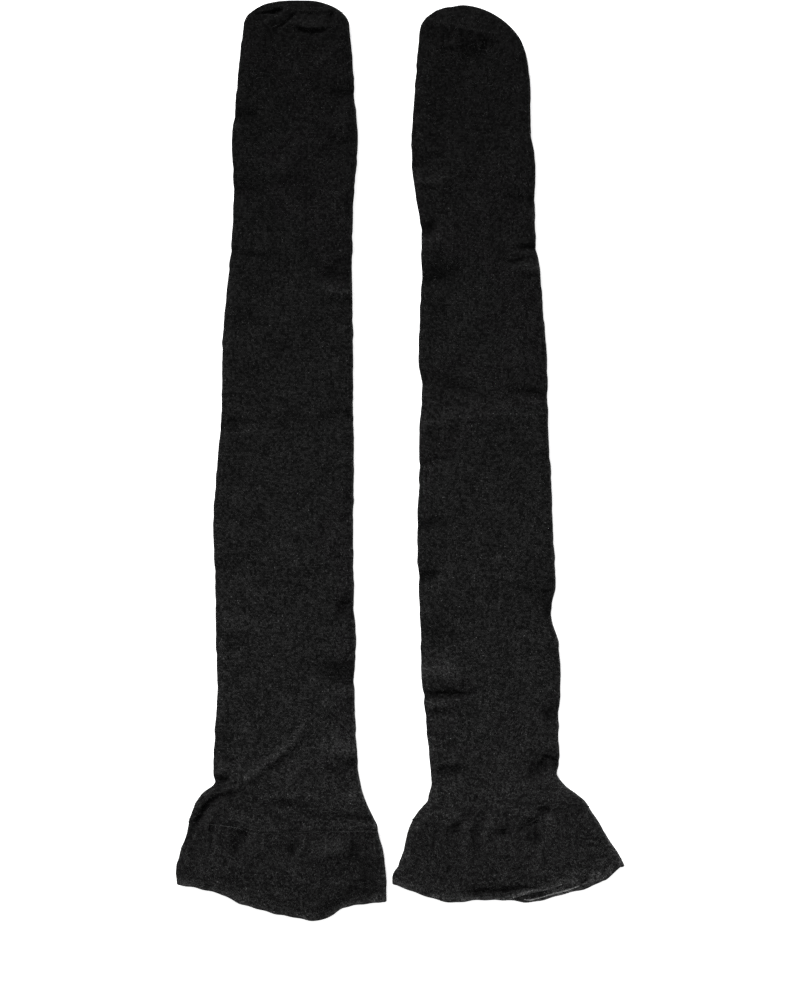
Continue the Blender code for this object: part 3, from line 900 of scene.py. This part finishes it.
def ring(grid, strips, row):
    """Point numbers round the tube at its first row (0) or its last one (-1)."""
    left = strips[0][:, row]
    right = strips[-1][:, -1 - row]
    under = grid[row, ::-1] + grid.size
    return np.concatenate([grid[row], right[1:-1], under, left[-2:0:-1]])


def loop_quads(first, second):
    """Faces between two rings of points."""
    return np.stack([first, second, np.roll(second, -1), np.roll(first, -1)], axis=-1)


def edge_path(plan, closed_toe):
    """Grid points along the edges with their outward directions in the plan.

    The path runs up the left side, over the toe where there is one, and down the right side. The
    sides face straight left and right, and the toe faces square to its curve.
    """
    x, y = plan
    rows, cols = x.shape
    up = np.arange(rows)
    left = (up, np.zeros(rows, int), np.tile([-1.0, 0.0], (rows, 1)))
    right = (up[::-1], np.full(rows, cols - 1), np.tile([1.0, 0.0], (rows, 1)))
    if not closed_toe:
        return [left, right]
    over = np.arange(1, cols - 1)
    facing = np.stack([-np.gradient(y[-1]), np.gradient(x[-1])], axis=-1)[1:-1]
    toe = (np.full(over.size, rows - 1), over, unit(facing))
    return [tuple(np.concatenate(parts) for parts in zip(left, toe, right))]


def crease_highlight_and_shade(height):
    """Painted highlight and shade: ridges are painted paler, and troughs darker."""
    tone = height * np.where(height > 0.0, RIDGE_HIGHLIGHT, TROUGH_SHADE)
    return np.maximum(tone, -TROUGH_SHADE_MOST)


def painted_hem_light(sock, plan, key="pale", reach=None):
    """How much paler the cuff is painted near its hem, as painted light: a share that dies away by
    exp(-height / reach).
    """
    lit_hem = sock["lit_hem"]
    across = columns(plan[0].shape[1] - 1)
    pale = smooth_curve(lit_hem["across"], lit_hem[key], across)
    if reach is None:
        reach = smooth_curve(lit_hem["across"], lit_hem["reach"], across)
    return pale * np.exp(-(plan[1] - plan[1][:1]) / reach)


def thin_out(grid):
    """Some of a grid's rows, its first and last ones among them."""
    rows = len(grid) - 1
    return grid[np.unique(np.append(np.arange(0, rows, INSIDE_STRIDE), rows))]


def hem_rings(sock, outside, inside):
    """Rings of points round the hem, from its outside to its inside: half an ellipse."""
    across = across_of(sock, outside[:, 0], outside[:, 1])
    rim = smooth_curve(sock["lit_hem"]["across"], sock["lit_hem"]["rim"], across)
    rings = []
    for turn in np.linspace(0.0, np.pi, HEM_FOLD_STEPS + 2)[1:-1]:
        hem = (outside + inside) / 2.0 + (outside - inside) / 2.0 * np.cos(turn)
        hem[:, 1] -= HEM_FOLD * np.sin(turn)
        # Painted highlight on the round of the hem, which faces away from the lamps and lies in
        # shade
        hem[:, 3] += rim * np.sin(turn)
        rings.append(hem)
    return rings


def bands(rings, width_on_needles):
    """Faces between each ring and the next, and their places in the knitting."""
    wale = np.linspace(0.0, 2.0 * width_on_needles, len(rings[0]) + 1)
    band = np.stack([wale[:-1], wale[:-1], wale[1:], wale[1:]], axis=-1)
    faces, places = [], []
    for number, (here, there) in enumerate(zip(rings, rings[1:])):
        course = -np.array([number, number + 1, number + 1, number]) + 0.0 * band
        faces.append(loop_quads(here, there))
        places.append(np.dstack([band, course]))
    return faces, places


def tube(sock, top, under, wall, closed_toe, width_on_needles):
    """A flattened tube of cloth: an outer skin, a plainer inner skin and its open ends."""
    raised = creased(sock, *top)
    high = top_height(sock, *top, wall)
    low = under_height(sock, *under)
    # Painted shade in the hollows of the under layer and in the troughs of the top layer, and
    # painted highlight on its ridges
    tone = [-TROUGH_SHADE * low, crease_highlight_and_shade(raised)]
    # Painted highlight near the hem of the cuff
    if not closed_toe:
        tone = [shade + painted_hem_light(sock, plan) for shade, plan in zip(tone, (under, top))]
    nick = EDGE_NICK * np.minimum(raised, 0.0)
    radius = thickness(top[1]) / 2.0 + edge_roughness(sock, *top) + nick
    across = columns(top[0].shape[1] - 1)[None, :] + 0.0 * top[0]
    length = np.hypot(np.diff(top[0], axis=0), np.diff(top[1], axis=0))
    knit = [across * width_on_needles, np.vstack([0.0 * across[:1], np.cumsum(length, axis=0)])]
    outer = skin(top, under, low, high, radius, edge_path(top, closed_toe), knit, tone)
    top, under, knit, tone = [[thin_out(g) for g in pair] for pair in (top, under, knit, tone)]
    low, high, radius = thin_out(low) + wall, thin_out(high) - wall, thin_out(radius) - wall
    # Painted light on the inside near the hem, in the shade of the cuff's mouth
    if not closed_toe:
        tone = [tone[0] + painted_hem_light(sock, under, "inside", INSIDE_LIGHT_REACH), tone[1]]
    inner = skin(top, under, low, high, radius, edge_path(top, closed_toe), knit, tone)

    points, faces, places, grid, strips = outer
    inner_points, inner_faces, inner_places, inner_grid, inner_strips = inner
    first, inner_first = ring(grid, strips, 0), ring(inner_grid, inner_strips, 0)
    hems = [] if closed_toe else hem_rings(sock, points[first], inner_points[inner_first])
    count = len(points) + len(inner_points)
    between = [np.arange(len(hem)) + count + row * len(hem) for row, hem in enumerate(hems)]
    band_faces, band_places = bands([first, *between, inner_first + len(points)], width_on_needles)
    all_faces = [faces, inner_faces[:, ::-1] + len(points)]
    all_places = [places, inner_places[:, ::-1]]
    if not closed_toe:
        inner_last = ring(inner_grid, inner_strips, -1) + len(points)
        ends = loop_quads(inner_last, ring(grid, strips, -1))
        all_faces.append(ends)
        all_places.append(np.zeros((len(ends), 4, 2)))
    cloth = [
        np.concatenate([points, inner_points, *hems]),
        np.concatenate(all_faces + band_faces),
        np.concatenate(all_places + band_places),
    ]
    return cloth, {"ring": points[first, :3], "outer_faces": len(faces)}


def make_piece(name, points, faces, material, places=None):
    """A mesh object from arrays in millimetres.

    The places of the knitting become a UV map named knit, and the fourth number of each point,
    where there is one, its attribute named tone, which holds the painted highlight and shade.
    """
    mesh = bpy.data.meshes.new(name)
    faces = faces if isinstance(faces, list) else faces.tolist()
    mesh.from_pydata((points[:, :3] * MM).tolist(), [], faces)
    if points.shape[1] > 3:
        mesh.attributes.new("tone", "FLOAT", "POINT")
        mesh.attributes["tone"].data.foreach_set("value", points[:, 3].astype(np.float32))
    if places is not None:
        layer = mesh.uv_layers.new(name="knit")
        layer.uv.foreach_set("vector", places.astype(np.float32).ravel())
    mesh.shade_smooth()
    mesh.materials.append(material)
    piece = bpy.data.objects.new(name, mesh)
    bpy.context.scene.collection.objects.link(piece)
    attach(piece, "root")
    return piece


def strands(spines, first, second, radius, sides):
    """Many short round tubes: their points, and their faces with a cap at each end.

    Each tube has a row of stations in spines. Round each station stands a circle of its radius,
    first * cos(turn) + second * sin(turn), where first and second are square to the tube.
    """
    turn = np.linspace(0.0, 2.0 * np.pi, sides, endpoint=False)[:, None]
    rim = first[..., None, :] * np.cos(turn) + second[..., None, :] * np.sin(turn)
    points = spines[:, :, None] + rim * radius[:, None, None]
    number = np.arange(points[..., 0].size).reshape(points.shape[:-1])
    here, there = number[:, :-1], number[:, 1:]
    ahead, there_ahead = np.roll(here, -1, axis=2), np.roll(there, -1, axis=2)
    walls = np.stack([here, ahead, there_ahead, there], axis=-1).reshape(-1, 4)
    caps = np.concatenate([number[:, 0, ::-1], number[:, -1]])
    return points.reshape(-1, 3), walls.tolist() + caps.tolist()


def grains(centres, direction, facing, stitch):
    """Stitches: short spindles, thickest in the middle, each a tube along its direction.

    The radius follows half an ellipse, sqrt(1 - (2s - 1)^2), and flat caps close the ends.
    """
    direction = unit(direction)
    side = unit(np.cross(direction, facing))
    lift = np.cross(side, direction)
    share = np.linspace(*STITCH_ENDS, STITCH_STATIONS)
    swell = stitch["radius"] * np.sqrt(1.0 - (2.0 * share - 1.0) ** 2)
    spines = centres[:, None] + direction[:, None] * stitch["length"] * (share[:, None] - 0.5)
    return strands(spines, side[:, None], lift[:, None], swell, STITCH_SIDES)


def even_steps(path, pitch, closed):
    """Points a fixed pitch apart along a path, with its direction there.

    The direction is that of the millimetre round each point, or of the step at either end.
    """
    if closed:
        path = np.vstack([path, path[:1]])
    run = np.concatenate([[0.0], np.cumsum(np.linalg.norm(np.diff(path, axis=0), axis=1))])
    count = int(run[-1] / pitch)
    at = np.linspace(0.0, run[-1], count, endpoint=not closed)

    def point_at(distance):
        return np.stack([np.interp(distance, run, path[:, k]) for k in range(3)], axis=-1)

    points = point_at(at)
    direction = point_at((at + 0.5) % run[-1]) - point_at((at - 0.5) % run[-1])
    direction[0] = points[1] - points[0]
    direction[-1] = points[-1] - points[-2]
    return points, unit(direction)


def cuff_seam(sock, path):
    """The linking stitches of the cuff seam: a rope of slanted stitches all round the tube.

    It lies deep in the seam in some stretches and stands out in others, and no two stitches are
    quite level.
    """
    random = np.random.default_rng(sock["seed"] + 20)
    path = path - TOEWARDS * SEAM_GAP / 2.0
    points, direction = even_steps(path, CUFF_STITCH["pitch"], closed=True)
    outward = unit(np.cross(TOEWARDS, direction))
    linking = sock["linking"]
    across = across_of(sock, points[:, 0], points[:, 1])
    lift = smooth_curve(linking["across"], linking["lift"], across)
    lift = lift + random.normal(0.0, CUFF_STITCH_LIFT, len(points))
    # Painted paler: partly the yarn's own tone, partly painted highlight where the stitches stand
    # out in shade
    pale = smooth_curve(linking["across"], linking["pale"], across)
    points = points + outward * lift[:, None]
    lean = random.normal(*CUFF_STITCH_LEAN, (len(points), 1))
    slanted = direction * np.cos(lean) + TOEWARDS * np.sin(lean)
    stitches, faces = grains(points, slanted, outward, CUFF_STITCH)
    stitches[:, 2] = np.maximum(stitches[:, 2], FLOOR_CLEARANCE[0])
    tone = np.repeat(pale, len(stitches) // len(points))
    return np.column_stack([stitches, tone]), faces


def toe_seam(sock):
    """The linked toe seam: two rows of small stitches that lean towards each other."""
    seam = sock["toe_seam"]
    across = np.linspace(seam["across"][0], seam["across"][-1], TOE_SEAM_STEPS)
    x, y = place(sock, across, smooth_curve(seam["across"], seam["along"], across))
    path = np.stack([x, y, top_height(sock, x, y, LEG_WALL)], axis=-1)
    points, direction = even_steps(path, TOE_STITCH["pitch"], closed=False)
    beside = np.cross(UP, direction)
    lean = TOE_STITCH_LEAN
    centres, slanted = [], []
    for way in (-1.0, 1.0):
        centres.append(points - beside * way * TOE_STITCH_ASIDE - UP * TOE_STITCH_SUNK)
        slanted.append(direction * np.cos(lean) + beside * way * np.sin(lean))
    return grains(np.concatenate(centres), np.concatenate(slanted), UP, TOE_STITCH)


def gap_light_thread(sock):
    """A pale thread painted where the mouth of the cuff gapes, as bright light seen between the
    layers.

    It is a round thread along a smooth line on the inside of the under layer, thin at both ends.
    """
    share = np.linspace(0.0, 1.0, GAP_LIGHT_THREAD_STEPS)
    stations = np.linspace(0.0, 1.0, len(GAP_LIGHT_THREAD["across"]))
    across = smooth_curve(stations, GAP_LIGHT_THREAD["across"], share)
    x, y = place(sock, across, smooth_curve(stations, GAP_LIGHT_THREAD["along"], share))
    path = np.stack([x, y, CUFF_WALL + GAP_LIGHT_THREAD_LIFT + 0.0 * x], axis=-1)
    side = np.cross(UP, unit(np.gradient(path, axis=0)))
    radius = smooth_curve(stations, GAP_LIGHT_THREAD["radius"], share)
    return strands(path[None], side[None], -UP, radius, GAP_LIGHT_THREAD_SIDES)


def nap(points, faces, facts, count, seed):
    """Fine wool fibres that stand off the cloth, most of them lying nearly flat.

    Each fibre leaves a random place on the surface, runs along it in a random direction and
    curls as a parabola, up and over. It is a three-sided tube that thins to its tip. Steep
    places, such as the edges and the hem, carry more of them.
    """
    random = np.random.default_rng(seed)
    faces = faces[: facts["outer_faces"]]
    corners = points[faces, :3]
    across, up = corners[:, 2] - corners[:, 0], corners[:, 3] - corners[:, 1]
    normal = np.cross(across, up)
    area = np.linalg.norm(normal, axis=1)
    normal /= np.maximum(area, 1e-9)[:, None]
    lowest, steep = FIBRE_FACING
    seen = area * (normal[:, 2] > lowest) * (1.0 + FIBRE_EXTRA * (normal[:, 2] < steep))
    pick = random.choice(len(faces), count, p=seen / seen.sum())
    normal = normal[pick]
    share = random.random((count, 2, 1))
    sides = corners[pick]
    low_edge = sides[:, 0] + (sides[:, 1] - sides[:, 0]) * share[:, 0]
    high_edge = sides[:, 3] + (sides[:, 2] - sides[:, 3]) * share[:, 0]
    root = low_edge + (high_edge - low_edge) * share[:, 1] - normal * FIBRE_ROOT
    turn = random.uniform(0.0, 2.0 * np.pi, (count, 1))
    first = unit(np.cross(normal, ASKEW))
    second = np.cross(normal, first)
    heading = first * np.cos(turn) + second * np.sin(turn)
    curl = first * -np.sin(turn) + second * np.cos(turn)
    length = random.uniform(*FIBRE_LENGTH, (count, 1))
    rise = random.uniform(*FIBRE_RISE, (count, 1)) ** FIBRE_RISE_POWER
    bend = random.uniform(-FIBRE_BEND, FIBRE_BEND, (count, 1))
    s = np.linspace(0.0, 1.0, FIBRE_STATIONS)[:, None]
    slope, droop = FIBRE_ARCH
    spines = (
        root[:, None]
        + heading[:, None] * length[:, None] * s
        + normal[:, None] * (length * rise)[:, None] * (s - droop * s**2) * slope
        + curl[:, None] * (length * bend)[:, None] * s**2
    )
    spines[..., 2] = np.maximum(spines[..., 2], FLOOR_CLEARANCE[1])
    thin = FIBRE_RADIUS * (1.0 - FIBRE_TAPER * s[:, 0])
    return strands(spines, curl[:, None], normal[:, None], thin, FIBRE_SIDES)


class Nodes:
    """Builds one material's nodes: most methods add a node and give back its output."""

    def __init__(self, name):
        self.material = bpy.data.materials.new(name)
        self.material.use_nodes = True
        self.tree = self.material.node_tree
        self.shader = self.tree.nodes["Principled BSDF"]

    def feed(self, socket, value):
        if isinstance(value, bpy.types.NodeSocket):
            self.tree.links.new(value, socket)
        else:
            socket.default_value = value

    def finish(self, **constants):
        """Sets sockets of the shader itself; the _ in a name stands for a space."""
        for name, value in constants.items():
            self.shader.inputs[name.replace("_", " ")].default_value = value

    def math(self, operation, *values):
        node = self.tree.nodes.new("ShaderNodeMath")
        node.operation = operation
        for socket, value in zip(node.inputs, values):
            self.feed(socket, value)
        return node.outputs[0]

    def map_range(self, value, low, high, to_low, to_high, kind="SMOOTHSTEP"):
        node = self.tree.nodes.new("ShaderNodeMapRange")
        node.interpolation_type = kind
        for socket, given in zip(node.inputs, (value, low, high, to_low, to_high)):
            self.feed(socket, given)
        return node.outputs[0]

    def object_place(self):
        return self.tree.nodes.new("ShaderNodeTexCoord").outputs["Object"]

    def knit_place(self):
        node = self.tree.nodes.new("ShaderNodeUVMap")
        node.uv_map = "knit"
        return node.outputs[0]

    def scaled(self, vector, scale):
        node = self.tree.nodes.new("ShaderNodeMapping")
        self.feed(node.inputs["Vector"], vector)
        node.inputs["Scale"].default_value = scale
        return node.outputs[0]

    def attribute(self, name):
        node = self.tree.nodes.new("ShaderNodeAttribute")
        node.attribute_name = name
        return node.outputs["Fac"]

    def split(self, vector):
        node = self.tree.nodes.new("ShaderNodeSeparateXYZ")
        self.feed(node.inputs[0], vector)
        return node.outputs

    def noise(self, vector, scale, detail=2.0, roughness=0.5):
        node = self.tree.nodes.new("ShaderNodeTexNoise")
        self.feed(node.inputs["Vector"], vector)
        node.inputs["Scale"].default_value = scale
        node.inputs["Detail"].default_value = detail
        node.inputs["Roughness"].default_value = roughness
        return node.outputs["Fac"]

    def chance(self, x, y):
        """A random value for each whole pair of numbers x, y."""
        pair = self.tree.nodes.new("ShaderNodeCombineXYZ")
        self.feed(pair.inputs[0], self.math("FLOOR", x))
        self.feed(pair.inputs[1], self.math("FLOOR", y))
        node = self.tree.nodes.new("ShaderNodeTexWhiteNoise")
        node.noise_dimensions = "2D"
        self.feed(node.inputs["Vector"], pair.outputs[0])
        return node.outputs["Value"]

    def mix(self, factor, first, second):
        node = self.tree.nodes.new("ShaderNodeMix")
        node.data_type = "RGBA"
        self.feed(node.inputs["Factor"], factor)
        self.feed(node.inputs["A"], first)
        self.feed(node.inputs["B"], second)
        return node.outputs["Result"]

    def shaded(self, colour, share):
        node = self.tree.nodes.new("ShaderNodeVectorMath")
        node.operation = "SCALE"
        self.feed(node.inputs[0], colour)
        self.feed(node.inputs["Scale"], share)
        return node.outputs[0]

    def bump(self, height, strength, distance, normal=None):
        node = self.tree.nodes.new("ShaderNodeBump")
        node.inputs["Strength"].default_value = strength
        node.inputs["Distance"].default_value = distance
        self.feed(node.inputs["Height"], height)
        if normal is not None:
            self.feed(node.inputs["Normal"], normal)
        return node.outputs[0]


def grey(value):
    """A grey with the given share of red, green and blue."""
    return (value, value, value, 1.0)


def jersey(name, toe_end, cuff_end):
    """Fine plain knitting in melange wool.

    Across a wale the height rises to its two yarn legs, which lean up to the middle line, so each
    stitch is a small V. Each stitch has its own shade, and fine noise adds hairs and light flecks.
    The cloth is painted a little darker towards the toe end than at the cuff end, and its hairs are
    softer.
    """
    n = Nodes(name)
    here = n.object_place()
    wale_place, course_place, _ = n.split(n.knit_place())
    drift = n.noise(here, 130.0, 1.0)
    wale = n.math("ADD", n.math("DIVIDE", wale_place, WALE), n.math("MULTIPLY", drift, 0.9))
    from_border = n.math("MULTIPLY", n.math("PINGPONG", wale, 0.5), 2.0)
    lean = n.math("MULTIPLY", from_border, 0.75)
    uneven = n.math("MULTIPLY", n.noise(here, 95.0, 1.0), 1.2)
    course = n.math("ADD", n.math("DIVIDE", course_place, COURSE), n.math("ADD", lean, uneven))
    leg = n.math("SINE", n.math("MULTIPLY", from_border, np.pi))
    turn = n.math("MULTIPLY", n.math("FRACT", course), 2.0 * np.pi)
    yarn = n.math("MULTIPLY_ADD", n.math("COSINE", turn), -0.5, 0.5)
    stitch = n.math("MULTIPLY", n.math("POWER", leg, 0.6), n.math("MULTIPLY_ADD", yarn, 0.6, 0.4))
    own = n.chance(wale, course)
    hair = n.noise(n.scaled(here, (2300.0, 1150.0, 1150.0)), 1.0, 3.0, 0.7)
    patch = n.noise(here, 70.0, 3.0, 0.6)
    courses_streak = n.noise(n.scaled(here, (60.0, 330.0, 60.0)), 1.0, 2.0)
    wales_streak = n.noise(n.scaled(here, (420.0, 55.0, 60.0)), 1.0, 2.0)
    shade = n.math("MULTIPLY_ADD", stitch, 1.0, 0.3)
    shade = n.math("MULTIPLY", shade, n.map_range(own, 0.0, 1.0, 0.45, 1.55))
    _, length_place, _ = n.split(here)
    crisp = n.map_range(length_place, CUFF_TONE_AT, TOE_TONE_AT, 1.3, 0.3, "LINEAR")
    swing = n.map_range(hair, 0.3, 0.7, -1.0, 1.0)
    hairy = n.math("MAXIMUM", n.math("MULTIPLY_ADD", swing, crisp, 1.0), 0.05)
    shade = n.math("MULTIPLY", shade, hairy)
    for mottle, share in ((patch, 0.12), (courses_streak, 0.12), (wales_streak, 0.1)):
        varied = n.map_range(mottle, 0.3, 0.7, 1.0 - share, 1.0 + share)
        shade = n.math("MULTIPLY", shade, varied)
    # Painted highlight and shade from the tone attribute, never below TONE_LEAST of the cloth's own
    # shade
    tone = n.math("MAXIMUM", n.math("ADD", n.attribute("tone"), 1.0), TONE_LEAST)
    shade = n.math("MULTIPLY", shade, tone)
    end_tone = n.map_range(length_place, CUFF_TONE_AT, TOE_TONE_AT, cuff_end, toe_end, "LINEAR")
    shade = n.math("MULTIPLY", shade, end_tone)
    fleck = n.map_range(n.noise(here, 1150.0, 1.0), 0.66, 0.8, 0.0, 1.0)
    colour = n.mix(fleck, grey(DARK_WOOL), grey(LIGHT_WOOL))
    n.feed(n.shader.inputs["Base Color"], n.shaded(colour, shade))
    n.finish(Roughness=0.9, Specular_IOR_Level=0.015)
    n.finish(Sheen_Weight=0.01, Sheen_Roughness=0.6, Sheen_Tint=(0.8, 0.8, 0.82, 1.0))
    fuzzy = n.bump(hair, 0.35, 0.12 * MM)
    n.feed(n.shader.inputs["Normal"], n.bump(stitch, 0.8, 0.3 * MM, fuzzy))
    return n.material


def sewing_wool(name, value):
    """The twisted yarn of the seams, and of the pale thread that stands in for light in the cuff's
    mouth, mottled round its own grey.
    """
    n = Nodes(name)
    here = n.object_place()
    twist = n.noise(n.scaled(here, (900.0, 1500.0, 900.0)), 1.0, 2.0)
    mottle = n.map_range(twist, 0.3, 0.7, 0.0, 1.0)
    colour = n.mix(mottle, grey(value * 0.2), grey(value * 1.9))
    # The tone attribute paints the linking stitches paler: partly the yarn's own tone, partly
    # painted highlight
    tone = n.math("ADD", n.attribute("tone"), 1.0)
    n.feed(n.shader.inputs["Base Color"], n.shaded(colour, tone))
    n.finish(Roughness=0.85, Specular_IOR_Level=0.03)
    n.feed(n.shader.inputs["Normal"], n.bump(twist, 0.5, 0.15 * MM))
    return n.material


def nap_wool():
    """Loose fibres, most of them dark and a few of them grey."""
    n = Nodes("loose_fibres")
    strand = n.map_range(n.noise(n.object_place(), 260.0, 0.0), 0.45, 0.75, 0.0, 1.0)
    n.feed(n.shader.inputs["Base Color"], n.mix(strand, grey(0.02), grey(0.09)))
    n.finish(Roughness=0.7)
    return n.material


def floor_paint():
    """Matt white with a slight glow of its own, so that it stays white under the soft light."""
    n = Nodes("pale_floor")
    tone = n.map_range(n.noise(n.object_place(), 3.0, 2.0), 0.3, 0.7, 0.0, 1.0)
    n.feed(n.shader.inputs["Base Color"], n.mix(tone, grey(0.90), grey(0.92)))
    n.finish(Roughness=0.9, Specular_IOR_Level=0.1)
    n.finish(Emission_Color=grey(1.0), Emission_Strength=0.7)
    return n.material


LEG_WOOL = jersey("leg_jersey", toe_end=0.57, cuff_end=1.5)
CUFF_WOOL = jersey("cuff_jersey", toe_end=1.0, cuff_end=1.25)
TOE_YARN = sewing_wool("toe_yarn", 0.013)
SEAM_YARN = sewing_wool("seam_yarn", 0.0095)
GAP_LIGHT_YARN = sewing_wool("gap_light_yarn", 0.36)
NAP_WOOL = nap_wool()

shells = {}
for side, sock in SOCKS.items():
    plan = leg_plan(sock)
    shells[f"leg_{side}"] = tube(sock, plan, plan, LEG_WALL, True, LEG_WIDTH_ON_NEEDLES)
    layers = cuff_plan(sock, "top"), cuff_plan(sock, "under")
    shells[f"welt_{side}"] = tube(sock, *layers, CUFF_WALL, False, CUFF_WIDTH_ON_NEEDLES)

reach = []
for name, (cloth, _) in shells.items():
    shift = np.array([SOCKS[name.split("_")[1]]["centre"], 0.0])
    reach += [cloth[0][:, :2].min(axis=0) + shift, cloth[0][:, :2].max(axis=0) + shift]
middle = (np.min(reach, axis=0) + np.max(reach, axis=0)) / 2.0


def dress(name, side, shape, wool):
    """A piece of one sock, moved from the sock's own frame to its place in the pair."""
    points, faces, *places = shape
    moved = points.copy()
    moved[:, :2] += np.array([SOCKS[side]["centre"], 0.0]) - middle
    piece = make_piece(f"{name}_{side}", moved, faces, wool, *places)
    return piece


for side, sock in SOCKS.items():
    cloth, facts = shells[f"leg_{side}"]
    leg = dress("leg", side, cloth, LEG_WOOL)
    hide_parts(f"sock_{side}")
    fibres = nap(*cloth[:2], facts, LEG_FIBRES, sock["seed"])
    on_leg = [
        dress("toe_seam", side, toe_seam(sock), TOE_YARN),
        dress("leg_nap", side, fibres, NAP_WOOL),
    ]

    seam = dress("cuff_seam", side, cuff_seam(sock, facts["ring"]), SEAM_YARN)
    cloth, facts = shells[f"welt_{side}"]
    welt = dress("welt", side, cloth, CUFF_WOOL)
    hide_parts(f"cuff_{side}")
    fibres = nap(*cloth[:2], facts, CUFF_FIBRES, sock["seed"] + 50)
    on_cuff = [seam, dress("welt_nap", side, fibres, NAP_WOOL)]
    # Painted light: a pale thread where light shows through the mouth of the right cuff
    if side == "right":
        on_cuff.append(dress("gap_light_thread", side, gap_light_thread(sock), GAP_LIGHT_YARN))

# Floor, just under the cloth
bpy.ops.mesh.primitive_circle_add(vertices=96, radius=4.0, fill_type="NGON")
floor = bpy.context.object
floor.data.transform(Matrix.Translation((0.0, 0.0, -FLOOR_BELOW)))
floor.name = "floor"
floor.data.materials.append(floor_paint())

# Light
world = bpy.data.worlds.new("studio")
bpy.context.scene.world = world
world.use_nodes = True
sky = world.node_tree.nodes["Background"].inputs
sky["Color"].default_value = grey(1.0)
sky["Strength"].default_value = 0.25


def lamp(name, kind, direction, distance, aim, power, size):
    """A lamp of the given kind, set at a distance in a direction from its aim and turned to it.

    Its size is an angle in radians for a sun, and the side of its square for an area lamp.
    """
    data = bpy.data.lights.new(name, kind)
    data.energy = power
    if kind == "SUN":
        data.angle = size
    else:
        data.shape = "SQUARE"
        data.size = size
    light = bpy.data.objects.new(name, data)
    bpy.context.scene.collection.objects.link(light)
    towards = Vector(direction).normalized()
    light.location = Vector(aim) + towards * distance
    light.rotation_euler = (-towards).to_track_quat("-Z", "Y").to_euler()


MIDDLE, CUFFS = (0.0, 0.0, 0.0), (0.0, -0.3, 0.0)
lamp("window", "SUN", (-0.4, 0.8, 0.42), 2.0, aim=MIDDLE, power=6.5, size=0.2)
lamp("ceiling", "AREA", (0.0, -0.25, 1.0), 1.1, aim=CUFFS, power=2.4, size=0.4)

# Camera, straight above as in the photograph
lens = bpy.data.cameras.new("camera")
lens.sensor_width = SENSOR
lens.lens = SENSOR * CAMERA_HEIGHT / (PHOTO_HEIGHT * PHOTO_SCALE)
camera = bpy.data.objects.new("camera", lens)
bpy.context.scene.collection.objects.link(camera)
camera.location = (0.0, -PHOTO_CENTRE_BELOW_PAIR * PHOTO_SCALE, CAMERA_HEIGHT)
bpy.context.scene.camera = camera
bpy.context.scene.view_settings.view_transform = "Standard"
